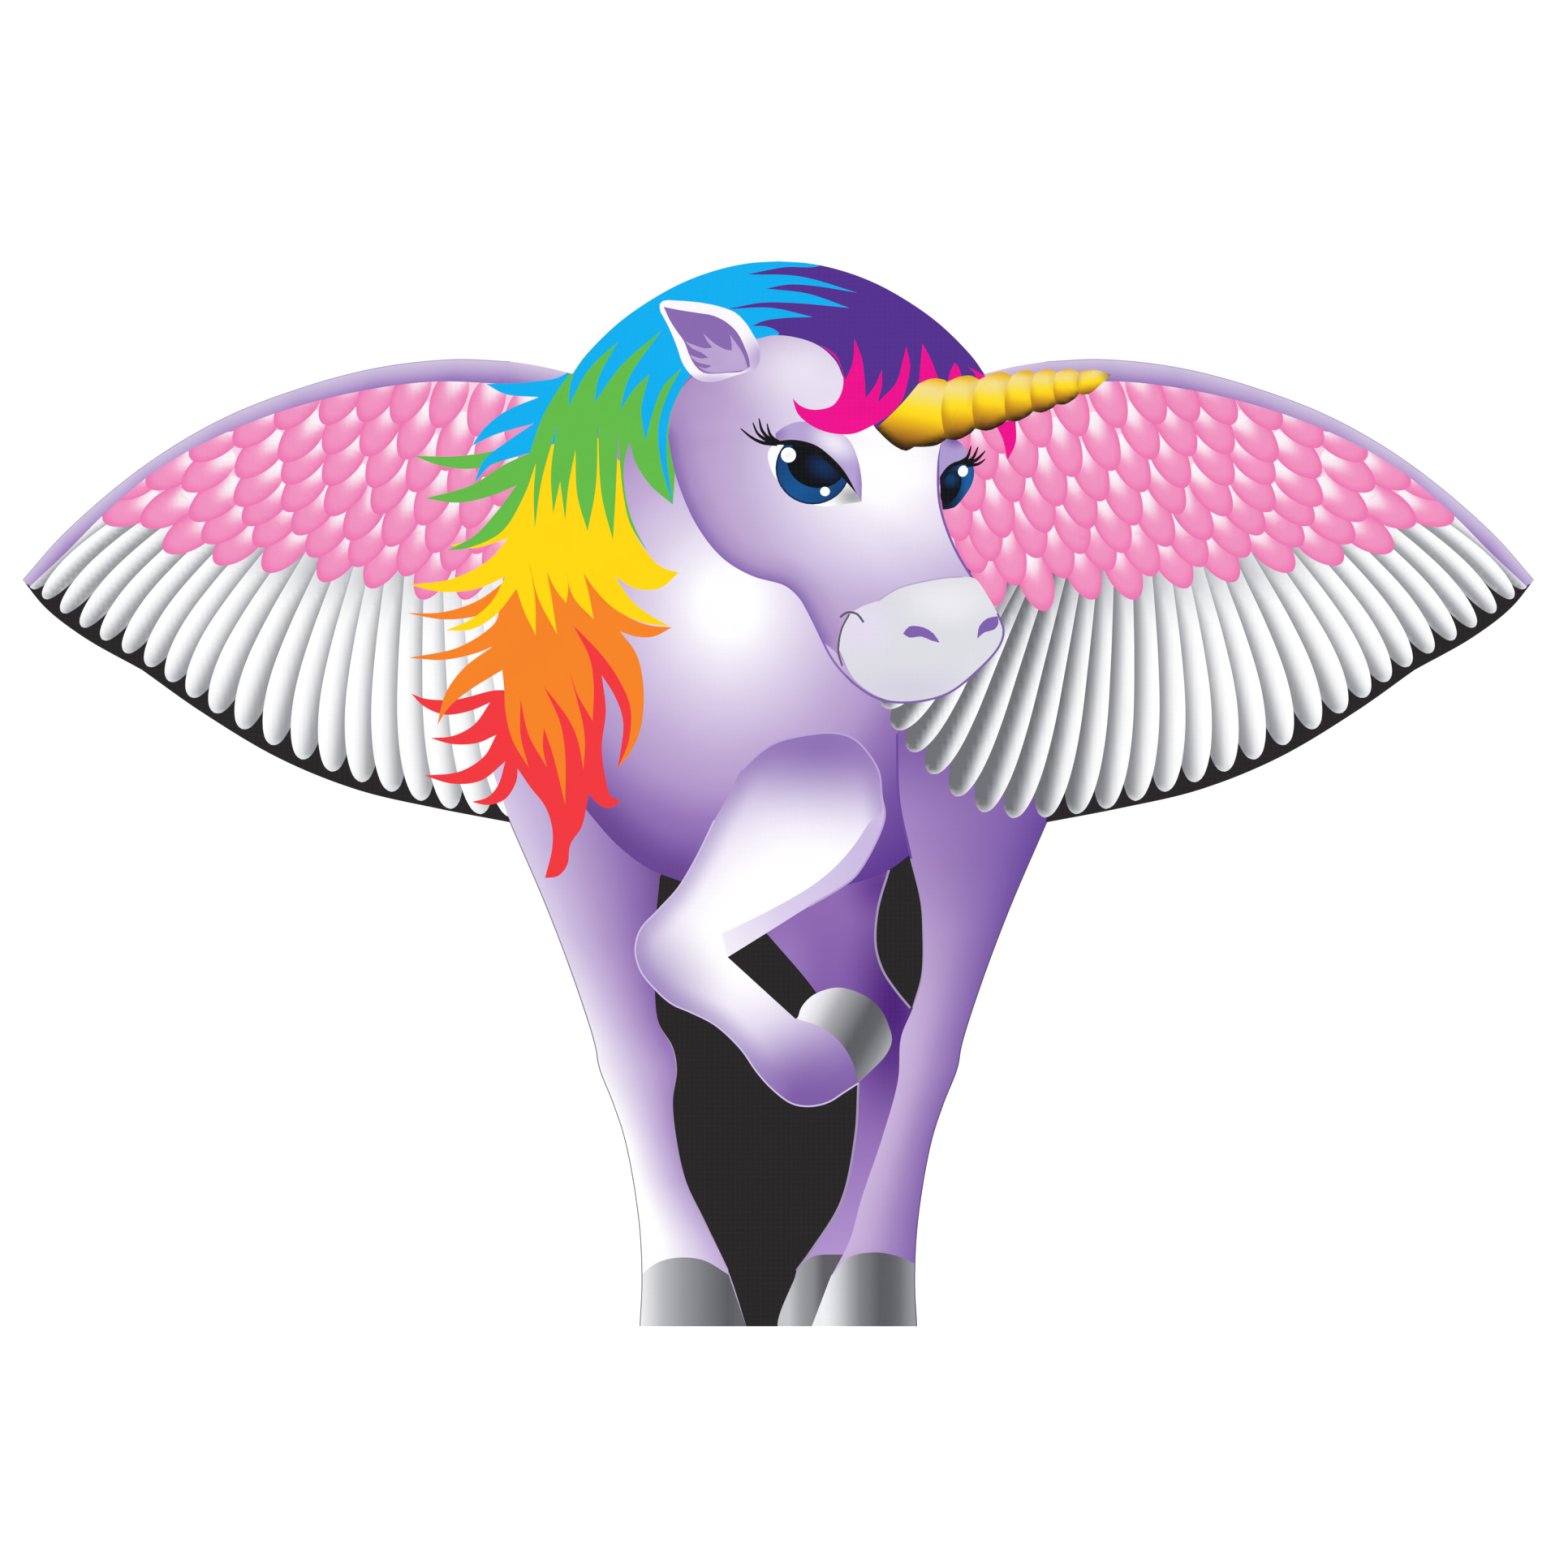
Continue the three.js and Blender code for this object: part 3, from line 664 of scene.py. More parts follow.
def yellow_hair(picture):
    picture.fill(
        plain("ffd600"), [(-239, 24), (-248, -3), (-262, -37), (-282, -55), (-324, -65)],
        [(-300, -68), (-266, -58)], [(-286, -80), (-321, -98), (-364, -104)],
        [(-331, -111), (-297, -108), (-269, -96)], [(-282, -120), (-303, -138), (-328, -149)],
        [(-303, -148), (-279, -134), (-258, -108)], [(-251, -129), (-239, -154)],
        [(-240, -116), (-246, -79)], [(-237, -116), (-218, -153)], [(-223, -120), (-228, -91)],
        [(-220, -108), (-209, -122)], [(-207, -105), (-210, -89)], [(-202, -116), (-182, -138)],
        [(-186, -116), (-192, -92)], [(-182, -107), (-161, -128), (-134, -141), (-106, -145)],
        [(-123, -136), (-144, -120), (-161, -96)], [(-140, -108), (-116, -107), (-98, -92)],
        [(-116, -86), (-128, -74), (-142, -52), (-150, -22), (-154, 15)], [(-207, 72)], [(-239, 24)])


def far_wisps(picture):
    """A green wisp, and blue ones over it, behind the rest of the green hair."""
    picture.fill(
        plain(GREEN_HAIR), [(-223, 68), (-242, 53), (-269, 32), (-314, 23), (-359, 23)],
        [(-331, 13), (-297, 11), (-255, 24)], [(-223, 68)])
    picture.fill(
        plain(BLUE_HAIR), [(-175, 152), (-210, 104), (-244, 96), (-288, 94)], [(-269, 84), (-236, 81)],
        [(-269, 67), (-290, 50), (-302, 33)], [(-279, 44), (-241, 55)],
        [(-269, 36), (-290, 19), (-300, -4)], [(-282, 15), (-266, 20), (-245, 26)], [(-207, 40)],
        [(-175, 152)])


def green_hair(picture):
    picture.fill(
        plain(GREEN_HAIR), [(-171, 144), (-205, 105), (-220, 84), (-234, 58), (-245, 26)],
        [(-269, 15), (-303, -6), (-348, -19)], [(-314, -23), (-282, -16), (-258, -6)],
        [(-279, -34), (-300, -56), (-326, -70)], [(-307, -68), (-273, -52), (-251, -17), (-239, 16)],
        [(-241, -16), (-240, -48)], [(-233, 0), (-218, 53)], [(-224, 8), (-222, -34)], [(-215, -2)],
        [(-210, -40)], [(-207, -8), (-200, 29)], [(-198, -16), (-188, -51)], [(-180, -8), (-178, 56)],
        [(-174, -16), (-163, -60)], [(-160, -8), (-158, 45)],
        [(-156, 15), (-153, -13), (-146, -44), (-128, -73)],
        [(-143, -44), (-151, -13), (-152, 15), (-147, 37)], [(-140, 15), (-126, -6), (-104, -25)],
        [(-98, 56), (-92, 108)], [(-92, 168)], [(-171, 144)])


def blue_hair(picture):
    """The blue hair, which covers the left half of the crown."""
    picture.fill(
        plain(BLUE_HAIR), [(42, 232), (42, 212), (5, 209), (-31, 202)], [(21, 200), (78, 184)],
        [(33, 191), (9, 192), (-12, 188)], [(29, 183), (70, 169)], [(13, 174), (-18, 174), (-49, 168)],
        [(-7, 169), (34, 160)], [(5, 159), (-15, 156), (-26, 151)], [(-14, 151), (-4, 148), (1, 144)],
        [(-15, 128), (-71, 112)], [(-85, 104), (-102, 77), (-109, 53), (-110, 22), (-104, -25)],
        [(-116, 18), (-118, 53), (-109, 84), (-95, 110)], [(-113, 92), (-123, 68), (-131, 38)],
        [(-135, 68), (-127, 104)], [(-143, 88), (-156, 68)], [(-147, 100), (-115, 147)],
        [(-155, 112), (-181, 76)], [(-177, 100), (-158, 136)], [(-187, 108), (-207, 72)],
        [(-202, 103), (-171, 144)], [(-207, 120), (-143, 208), (-47, 240)], [(42, 232)])


def dome_print(picture):
    """The purple crown of the mane, under the blue and the forelock."""
    picture.fill(
        plain(PURPLE_HAIR), [(-63, 224), (1, 240), (97, 224), (177, 168), (204, 101)],
        [(185, 88), (129, 56), (97, 36)], [(25, 72), (-23, 128), (-63, 224)])


def head_print(picture):
    """The head with its ear, eyes and muzzle; the cheek and jaw deepen towards their edge."""
    cheek = [
        (44, -160), (33, -137), (21, -116), (7, -104), (-26, -94), (-54, -77), (-80, -44), (-100, 4),
        (-108, 44)]
    far_side = [(161, 34), (158, 17), (159, -24), (172, -64), (193, -100), (216, -132)]
    skin = radial(
        (106, 15), (80, 76), (0, "ffffff"), (0.45, "fcfafd"), (0.85, "ebe4f2"), (1.12, "e0d6eb"),
        (1.5, "cebfe0"), (1.8, "c1add4"), (2.2, "b99fcc"), (2.7, "ab8fc4"), (3.2, "9a7cba"))
    skin = airbrushed(skin, ((21, 108), (88, 64), 0, "f1ecf6", 0.75))
    for reach, code, strength in ((34, "9476b7", 0.55), (12, "7b5ea6", 0.6)):
        skin = rimmed(skin, cheek, reach, code, strength)
    picture.fill(
        skin,
        [
            (-23, 138), (-3, 142), (21, 139), (41, 131), (57, 116), (65, 98), (81, 72), (113, 48),
            (161, 34)],
        far_side[1:],
        [
            (222, -148), (218, -164), (197, -188), (165, -212), (125, -220), (98, -214), (74, -196),
            (60, -174), (45, -161)],
        cheek[1:] + [(-106, 64), (-100, 80), (-90, 96), (-74, 108), (-23, 138)])
    picture.line([(74, -201), (66, -193), (58, -184), (50, -172)] + cheek, 2.2, "8a6bb4")
    picture.line(far_side, 2.4, "7a5aa9")
    ear_print(picture)
    eye_print(picture)
    far_eye_print(picture)
    muzzle_print(picture)


def ear_print(picture):
    """The ear: its white rim, the deep lilac inside and the tuft of hair in it."""
    picture.fill(
        airbrushed(
            plain("fbf8fd"), ((-23, 116), (24, 37), 0, "c3b1da", 1.0),
            ((-18, 122), (10, 18), 0, "b09bcf", 0.7), ((-65, 98), (48, 10), 0, "cbbade", 1.0)),
        [
            (-116, 165), (-117, 172), (-113, 176), (-98, 176), (-76, 174), (-57, 170), (-42, 164),
            (-32, 154), (-25, 143), (-19, 132), (-18, 122), (-19, 114), (-23, 108)],
        [
            (-33, 105), (-46, 101), (-58, 97), (-70, 96), (-79, 98), (-88, 105), (-95, 116), (-99, 128),
            (-104, 141), (-110, 154), (-116, 165)])
    picture.fill(
        airbrushed(plain("8868af"), ((-63, 103), (35, 10), 0, "9c82be", 0.7)),
        [
            (-113, 170), (-98, 167), (-79, 164), (-63, 161), (-50, 154), (-40, 144), (-33, 130),
            (-29, 119), (-28, 111)],
        [
            (-37, 106), (-49, 105), (-63, 104), (-74, 105), (-82, 112), (-88, 123), (-93, 136),
            (-100, 146), (-107, 157), (-113, 170)])
    picture.fill(
        airbrushed(plain("b9a2d0"), ((-43, 120), (21, 21), 0, "bfaad5", 0.7)),
        [(-30, 109), (-34, 122), (-40, 132), (-48, 143)],
        [(-46, 133), (-46, 127)],
        [(-52, 128), (-63, 134), (-74, 144)],
        [(-70, 136), (-65, 130)],
        [(-72, 129), (-82, 132), (-92, 136)],
        [(-85, 129), (-76, 125), (-69, 120)],
        [(-76, 119), (-88, 123)],
        [(-81, 116), (-66, 112)],
        [(-71, 109), (-80, 112)],
        [(-72, 107), (-63, 105), (-49, 106), (-38, 107), (-30, 109)])


def eye_print(picture):
    """The near eye: white, iris, pupil and lights, then the lid over them and its lashes."""
    picture.fill(
        airbrushed(plain("fbfbfc"), ((74, -17), (27, 18), 0, "8f9094", 0.9)),
        [(-2, 37), (-10, 27), (-7, 9), (6, -9), (25, -22), (45, -27), (61, -25), (82, -22)],
        [(65, 8), (33, 36), (-2, 37)])
    picture.add(disc((34, 11), 36.8, 35.8), plain("0b2a55"))
    picture.add(
        disc((34, 11), 35, 34),
        along((1, 24), (57, -24), (0, "0a3d74"), (0.5, "0d5492"), (1, "083c72")))
    picture.add(
        disc((38, 17), 29.5, 25.5, -12),
        airbrushed(plain("020409"), ((45, 12), (24, 18), -20, "0a2f5a", 0.9)))
    picture.add(disc((10, 24), 7.4, 7.4), airbrushed(plain("ffffff"), ((10, 24), (6, 6), 0, "dcdde0", 0.6)))
    picture.add(disc((46, -12), 4.8, 4.6), plain("ffffff"))
    picture.fill(
        airbrushed(
            plain("b5a1d3"), ((-3, 44), (18, 13), 0, "8467b1", 0.8),
            ((55, 36), (35, 21), -30, "efe9f6", 1.0), ((87, -8), (14, 56), 0, "8467b1", 0.9)),
        [(-3, 45), (6, 52), (22, 57), (42, 53), (61, 46), (71, 37), (78, 21), (82, 0), (82, -22)],
        [(77, -14), (62, 5), (48, 21), (34, 32), (16, 36), (-2, 37)],
        [(-3, 45)])
    picture.fill(
        plain(INK), [(-22, 38), (-11, 36), (1, 38), (16, 39), (36, 34), (50, 24), (65, 8), (78, -15)],
        [(62, 3), (47, 18), (34, 28), (16, 33), (1, 34), (-12, 34), (-22, 38)])
    for lash in (
        [(-1, 35), (-15, 36), (-26, 41), (-37, 50)], [(-2, 36), (-14, 40), (-21, 46), (-25, 56)],
        [(-2, 36), (-9, 40), (-16, 48), (-19, 60)], [(1, 36), (-5, 40), (-9, 46), (-11, 55)]):
        picture.line(lash, 4.4, INK, taper=True)


def far_eye_print(picture):
    """The far eye, seen from the side: lid, iris, pupil, light and lashes."""
    picture.fill(
        airbrushed(plain("ad9ad0"), ((174, 40), (19, 13), 0, "6a479c", 0.95)),
        [(159, 2), (159, 24), (163, 39), (172, 40), (181, 35), (186, 27), (190, 17)],
        [(177, 17), (166, 11), (159, 2)])
    picture.fill(
        along((167, -8), (193, -8), (0, "04122b"), (0.45, "0b3a6b"), (0.8, "1565a8"), (1, "0f4d88")),
        [
            (159, 2), (163, 8), (170, 14), (180, 17), (190, 17), (193, 8), (191, -4), (184, -16),
            (173, -28), (162, -30)],
        [(160, -16), (159, 2)])
    picture.add(
        disc((170, -8), 9.0, 17.0, -22),
        airbrushed(plain("03070f"), ((170, 0), (11, 11), 0, "0c3f70", 0.9)))
    picture.add(disc((182, 8), 4.8, 5.6, -20), plain("ffffff"))
    picture.fill(plain(INK), [(158, 0), (166, 12), (177, 18), (193, 17)], [(177, 14), (167, 9), (158, 0)])
    for lash in (
        [(178, 16), (186, 21), (190, 33)], [(182, 16), (191, 20), (197, 32)],
        [(185, 15), (195, 19), (204, 28)], [(185, 14), (197, 15), (204, 20)]):
        picture.line(lash, 4.2, INK, taper=True)


def muzzle_print(picture):
    """The grey muzzle, its outline, two nostrils and the smile."""
    picture.fill(
        airbrushed(
            plain("dcdce3"), ((169, -120), (64, 36), 0, "ececf0", 0.9),
            ((81, -144), (48, 48), 0, "e3dbee", 0.9), ((129, -208), (88, 32), 0, "cfc9dd", 0.6)),
        [
            (98, -120), (117, -108), (142, -101), (165, -97), (182, -96), (194, -98), (207, -116),
            (218, -136), (222, -150), (218, -164), (197, -188), (165, -212), (125, -220), (98, -214),
            (74, -196), (60, -168)],
        [(62, -152), (68, -136), (81, -126), (98, -120)])
    picture.line(
        [
            (66, -193), (78, -204), (98, -216), (125, -220), (165, -212), (197, -188), (218, -164),
            (222, -149), (216, -132)],
        2.2, "7d5fab")
    picture.line([(98, -120), (117, -108), (142, -101), (165, -97), (182, -96)], 1.4, "b3a6c9")
    nostril, smile = "7f5fae", "5d5866"
    picture.fill(
        plain(nostril), [(123, -152), (129, -145), (143, -146), (153, -152), (159, -161)],
        [(151, -159), (141, -155), (129, -156), (123, -152)])
    picture.fill(
        plain(nostril), [(196, -157), (198, -145), (206, -137), (216, -135)],
        [(217, -142), (213, -148), (203, -151), (196, -157)])
    picture.line([(70, -133), (63, -146), (60, -158), (59, -170), (63, -184)], 1.8, smile)
    picture.line([(61, -136), (66, -132), (71, -131), (78, -133), (84, -141)], 2.2, smile)


def forelock_print(picture):
    """Purple and pink hair between the ear and the horn, and the wisps behind the horn."""
    magenta = plain(PINK_HAIR)
    picture.fill(magenta, [(213, 56), (221, 40), (226, 19)], [(234, 36), (234, 58)], [(213, 56)])
    picture.fill(
        plain(PURPLE_HAIR), [(65, 124), (70, 103), (93, 96), (141, 120)],
        [(138, 92), (126, 72), (110, 57), (96, 50)], [(82, 72), (65, 124)])
    picture.fill(
        magenta,
        [(14, 80), (21, 73), (31, 69), (42, 69), (54, 73), (62, 85), (64, 100), (58, 118), (41, 133)],
        [(57, 122), (66, 98)], [(73, 114), (75, 139)], [(82, 120), (85, 100), (86, 80)],
        [(95, 92), (102, 108)], [(102, 92), (98, 76)], [(116, 95), (122, 114), (126, 131)],
        [(130, 112), (127, 94), (122, 78), (110, 64), (97, 55)],
        [(74, 45), (50, 46), (31, 54), (19, 65), (14, 80)])
    picture.fill(
        magenta, [(138, 88), (140, 112), (142, 134)], [(150, 119), (157, 101)], [(161, 92), (138, 88)])
    picture.fill(magenta, [(167, 96), (170, 108), (174, 115)], [(178, 110), (182, 96)], [(167, 96)])
    picture.fill(magenta, [(187, 111), (195, 107), (204, 102)], [(196, 96)], [(194, 104), (187, 111)])


def horn_print(picture):
    """A spiral horn: a base, five turns that lap over one another, and the tip."""
    picture.fill(
        rimmed(along((146, 101), (132, 28), *GOLD), HORN_BASE, 11, HORN_SHADE, 1.0),
        [(138, 94), (122, 75), (106, 59), (96, 50)],
        [(107, 39), (116, 32), (126, 28), (134, 32)],
        [(145, 32), (157, 34), (166, 40)],
        [(177, 72)],
        [(167, 96), (160, 99), (150, 99), (138, 94)])
    tops, feet = np.array(HORN_TOPS, float), np.array(HORN_FEET, float)
    for top, foot, next_top, next_foot in zip(tops, feet, tops[1:], feet[1:]):
        horn_turn(picture, top, foot, next_top, next_foot)
    picture.fill(
        airbrushed(
            along((305, 108), (310, 83), *GOLD), ((332, 103), (21, 14), -15, "6e4710", 1.0),
            ((293, 96), (8, 20), -12, "c88a10", 0.7)),
        [(296, 106), (305, 108), (317, 107), (328, 103)],
        [(315, 91), (306, 84), (296, 84)],
        [(294, 95), (296, 106)])


def horn_turn(picture, top, foot, next_top, next_foot):
    """One swelling turn of the horn, between two places on its upper and two on its lower side."""
    tall = np.linalg.norm(top - foot)
    wide = np.linalg.norm(next_foot - foot)
    up = (top - foot) / tall
    forward = (next_foot - foot) / wide
    crown = [
        top,
        top + (next_top - top) * 0.35 + up * wide * 0.14,
        top + (next_top - top) * 0.75 + up * wide * 0.15,
        next_top]
    sole = [
        next_foot,
        foot + (next_foot - foot) * 0.7 - up * wide * 0.14,
        foot + (next_foot - foot) * 0.36 - up * wide * 0.16,
        foot]
    front = [
        foot + (top - foot) * 0.35 - forward * tall * 0.085,
        foot + (top - foot) * 0.68 - forward * tall * 0.1, top]
    lit = top + (next_top - top) * 0.4 + up * wide * 0.14
    shaded = foot + (next_foot - foot) * 0.4 - up * wide * 0.17
    gold = rimmed(along(lit, shaded, *GOLD), sole, wide * 0.3, HORN_SHADE, 1.0)
    gold = airbrushed(
        gold, ((top + foot) / 2 - forward * wide * 0.25, (wide * 0.42, tall * 0.75), 12, "b98112", 0.7),
        ((next_top + next_foot) / 2, (wide * 0.3, tall * 0.75), 12, "d9a016", 0.5))
    picture.fill(gold, crown, sole, front)


def whole_print():
    """Every shape in the print, from the black ground up."""
    picture = Picture()
    picture.add([(-800, -900), (800, -900), (800, 300), (-800, 300)], plain(BLACK))
    wing_print(picture, 1)
    body_print(picture)
    wing_print(picture, -1)
    dome_print(picture)
    raised_leg_print(picture)
    mane_print(picture)
    head_print(picture)
    forelock_print(picture)
    horn_print(picture)
    for side, leg_ink in ((-1, "85818c"), (1, "5b4a73")):
        picture.line([(side * (x - 0.5), z) for x, z in LEG], 1.3, leg_ink)
        picture.line([(side * x, z - 0.4) for x, z in LEADING_EDGE], 1, "aa9bc6")
    return picture


# ---- Outline of the right half of the sail; the left half mirrors it ----
NOTCH = (203, 104)  # where the head meets the shoulder
HEAD = [NOTCH, (191, 121), (159, 153), (127, 176), (95, 193.6), (63, 205.6), (31, 212.8), (0, TOP_Z)]
SHOULDER = [NOTCH, (232, 111), (265, 116.4)]
LEADING_EDGE = [
    (265, 116.4), (320, 118.5), (396, 110), (473, 89.5), (550, 59), (626, 13), (703, -52), (745, -99)]
TIP_SCALLOP = [(745, -99), (722, -127), (684, -156), (627, -188)]
MAIN_SCALLOP = [(627, -188), (569, -229), (492, -275), (415, -306), (338, -324), (265, -338)]
LEG = [
    (265, -338), (228, -424), (199, -501), (181, -558), (177, -580), (163, -616), (151, -654),
    (138, -731), (135, -789), (137, HEM_Z)]


def sail_outline():
    """The whole edge of the sail, once round."""
    right = outline(HEAD[::-1], SHOULDER[1:], LEADING_EDGE[1:], TIP_SCALLOP[1:], MAIN_SCALLOP[1:], LEG[1:])
    left = right[::-1] * [-1, 1]
    return np.vstack([right, left])


SAIL = sail_outline()


# ---- Curves in the plane of the sail ----
def lengths(path):
    """How far along the path each of its points lies."""
    return np.concatenate([[0], np.cumsum(np.linalg.norm(np.diff(path, axis=0), axis=1))])


def stretch(path, start, end, step=6):
    """The path between two distances along it, in even steps; a negative end counts from its far end."""
    along_it = lengths(path)
    if end <= 0:
        end += along_it[-1]
    count = max(2, int((end - start) / step) + 1)
    at = np.linspace(start, end, count)
    return np.stack([np.interp(at, along_it, path[:, 0]), np.interp(at, along_it, path[:, 1])], axis=1)


def sideways(path):
    """Unit vectors across the path, to its right."""
    way = np.gradient(path, axis=0)
    way /= np.linalg.norm(way, axis=1)[:, None]
    return np.stack([way[:, 1], -way[:, 0]], axis=1)


def inset(points, distance):
    """The smooth curve through the points, moved sideways."""
    path = stretch(np.array(spline(points)), 0, 0)
    return path + sideways(path) * distance


LEADING_ROD = stretch(inset(LEADING_EDGE, INSET), 18, -16)
HOOP = inset(HEAD + [(-x, z) for x, z in HEAD[-2::-1]], -INSET)
FOOT_Z = HEM_Z + INSET
FOOT_REACH = LEG[-1][0] - INSET
SUPPORTED = np.vstack([  # places where rods hold the cloth
    stretch(inset(LEADING_EDGE, 0), 0, 0, 25),
    stretch(inset(HEAD, 0), 0, 0, 25),
    [(x, HEM_Z) for x in range(0, 137, 25)]])


def depth_of(p):
    """How far the cloth stands off its plane: it ripples between the rods and lies flat along them."""
    q = np.abs(p * [1, 0]) + p * [0, 1]
    near = np.full(len(q), 1e9)
    for point in SUPPORTED:
        near = np.minimum(near, np.linalg.norm(q - point, axis=1))
    slack = eased(q[:, 0] / 120) * eased((near - 12) / 110)
    turn = np.arctan2(q[:, 1] - 60, q[:, 0] + 40)
    return -RIPPLE * slack * (0.5 + 0.35 * np.sin(15 * turn + 0.6) + 0.25 * np.sin(27 * turn + 2.1))


# ---- Meshes ----
class Build:
    """Points, faces and their materials, gathered into one piece."""

    def __init__(self, side=1):
        self.side = side
        self.points, self.faces, self.kinds, self.places = [], [], [], []
        self.count = 0

    def add(self, points, faces, places, kind=0):
        """places gives each point its spot on the cloth or round the rod, in millimetres."""
        self.points.append(points)
        self.faces += [tuple(self.count + i for i in face) for face in faces]
        self.kinds += [kind] * len(faces)
        self.places.append(places)
        self.count += len(points)

    def piece(self, name, materials, smooth=40):
        """The finished object; faces that meet at more than smooth degrees meet in a sharp edge."""
        mesh = bpy.data.meshes.new(name)
        mesh.from_pydata((np.vstack(self.points) * [self.side * MM, MM, MM]).tolist(), [], self.faces)
        outward = bmesh.new()
        outward.from_mesh(mesh)
        bmesh.ops.recalc_face_normals(outward, faces=outward.faces)
        outward.to_mesh(mesh)
        outward.free()
        for mat in materials:
            mesh.materials.append(mat)
        mesh.polygons.foreach_set("material_index", self.kinds)
        places = np.vstack(self.places) * MM
        corners = np.zeros(len(mesh.loops), int)
        mesh.loops.foreach_get("vertex_index", corners)
        mesh.uv_layers.new(name="cloth").data.foreach_set("uv", places[corners].astype(np.float32).ravel())
        mesh.shade_smooth()
        mesh.set_sharp_from_angle(angle=math.radians(smooth))
        made = bpy.data.objects.new(name, mesh)
        bpy.context.collection.objects.link(made)
        return made


def tube_faces(rings, around):
    """Faces that join rings of points, each with that many points, and that close both ends."""
    faces = []
    last = (rings - 1) * around
    for first in range(0, last, around):
        for j in range(around):
            beside = (j + 1) % around
            faces.append((first + j, first + beside, first + around + beside, first + around + j))
    return faces + [tuple(range(around))[::-1], tuple(last + j for j in range(around))]


def swept(build, path, profile, kind=0, sizes=None, centre=0, follows=False):
    """A section swept along a path. The profile's points are (across, depth), round a closed loop."""
    profile = np.array(profile, float)
    across = sideways(path)
    n, m = len(path), len(profile)
    sizes = np.ones(n) if sizes is None else np.asarray(sizes, float)
    wide = profile[:, 0][None, :] * sizes[:, None]
    deep = centre + (profile[:, 1] - centre)[None, :] * sizes[:, None]
    flat = path[:, None, :] + across[:, None, :] * wide[..., None]
    if follows:
        deep = deep + depth_of(flat.reshape(-1, 2)).reshape(n, m)
    points = np.stack([flat[..., 0], deep, flat[..., 1]], axis=-1).reshape(-1, 3)
    round_it = lengths(np.vstack([profile, profile[:1]]))[:-1]
    places = np.stack([np.repeat(lengths(path), m), np.tile(round_it, n)], axis=1)
    build.add(points, tube_faces(n, m), places, kind)


def circle(radius, depth, count=24):
    """A round section of a rod."""
    a = np.linspace(0, 2 * np.pi, count, endpoint=False)
    return np.stack([radius * np.cos(a), depth + radius * np.sin(a)], axis=1)


def stitches(build, path, across, depth, follows=False):
    """A row of short raised stitches beside a path."""
    row = path + sideways(path) * across
    total = lengths(row)[-1]
    at = STITCH_GAP
    while at + STITCH < total:
        one = stretch(row, at, at + STITCH, STITCH / 3)
        profile = [(-0.3, depth), (-0.18, depth + 0.24), (0.18, depth + 0.24), (0.3, depth)]
        swept(build, one, profile, 1, sizes=[0.5, 1, 1, 0.5][:len(one)], centre=depth, follows=follows)
        at += STITCH + STITCH_GAP


def rod_piece(name, path, radius, depth, side=1):
    """A round rod with its ends chamfered."""
    build = Build(side)
    chamfer, step, narrowest = 0.9, 0.3, 0.72
    near_end = stretch(path, 0, chamfer, step)
    far_end = stretch(path, lengths(path)[-1] - chamfer, 0, step)
    whole = np.vstack([near_end, path[1:-1], far_end])
    sizes = np.ones(len(whole))
    sizes[:len(near_end)] = np.linspace(narrowest, 1, len(near_end))
    sizes[-len(far_end):] = np.linspace(1, narrowest, len(far_end))
    swept(build, whole, circle(radius, depth), sizes=sizes, centre=depth)
    return build.piece(name, [GLASS_FIBRE])


def turned_piece(name, start, direction, profile, depth, material, side=1):
    """A round piece along a line in the sail's plane, from (distance, radius) pairs."""
    x_way, z_way = np.array(direction, float) / np.linalg.norm(direction)
    build = Build(side)
    a = np.linspace(0, 2 * np.pi, 32, endpoint=False)
    rings = []
    for distance, radius in profile:
        x, z = start[0] + x_way * distance, start[1] + z_way * distance
        across = radius * np.cos(a)
        rings.append(np.stack([x + z_way * across, depth + radius * np.sin(a), z - x_way * across], axis=1))
    run = lengths(np.array(profile, float))
    places = np.stack([np.repeat(run, len(a)), np.tile(a * 3, len(rings))], axis=1)
    build.add(np.vstack(rings), tube_faces(len(rings), len(a)), places)
    return build.piece(name, [material], 35)


# ---- Materials ----
def new_material(name, roughness, metallic=0.0):
    """A node material and the handy parts of its tree."""
    mat = bpy.data.materials.new(name)
    mat.use_nodes = True
    shader = mat.node_tree.nodes["Principled BSDF"]
    shader.inputs["Roughness"].default_value = roughness
    shader.inputs["Metallic"].default_value = metallic
    return mat, mat.node_tree, shader


def place_on_cloth(tree):
    """Position in metres along and across the cloth or rod."""
    where = tree.nodes.new("ShaderNodeUVMap")
    where.uv_map = "cloth"
    return where.outputs["UV"]


def scaled(tree, vector, scale, turn=0):
    """The place stretched along its axes and turned by some degrees."""
    mapping = tree.nodes.new("ShaderNodeMapping")
    mapping.inputs["Scale"].default_value = scale
    mapping.inputs["Rotation"].default_value = (0, 0, math.radians(turn))
    tree.links.new(vector, mapping.inputs["Vector"])
    return mapping.outputs["Vector"]


def noise(tree, vector, scale, detail, roughness=0.5):
    made = tree.nodes.new("ShaderNodeTexNoise")
    made.inputs["Scale"].default_value = scale
    made.inputs["Detail"].default_value = detail
    made.inputs["Roughness"].default_value = roughness
    tree.links.new(vector, made.inputs["Vector"])
    return made.outputs["Fac"]


def wave(tree, vector, scale, direction):
    made = tree.nodes.new("ShaderNodeTexWave")
    made.wave_type = "BANDS"
    made.bands_direction = direction
    made.wave_profile = "SIN"
    made.inputs["Scale"].default_value = scale
    tree.links.new(vector, made.inputs["Vector"])
    return made.outputs["Fac"]


def maths(tree, kind, a, b):
    """A node of arithmetic; a and b are each a socket or a number."""
    made = tree.nodes.new("ShaderNodeMath")
    made.operation = kind
    link_or_set(tree, made.inputs[0], a)
    link_or_set(tree, made.inputs[1], b)
    return made.outputs["Value"]


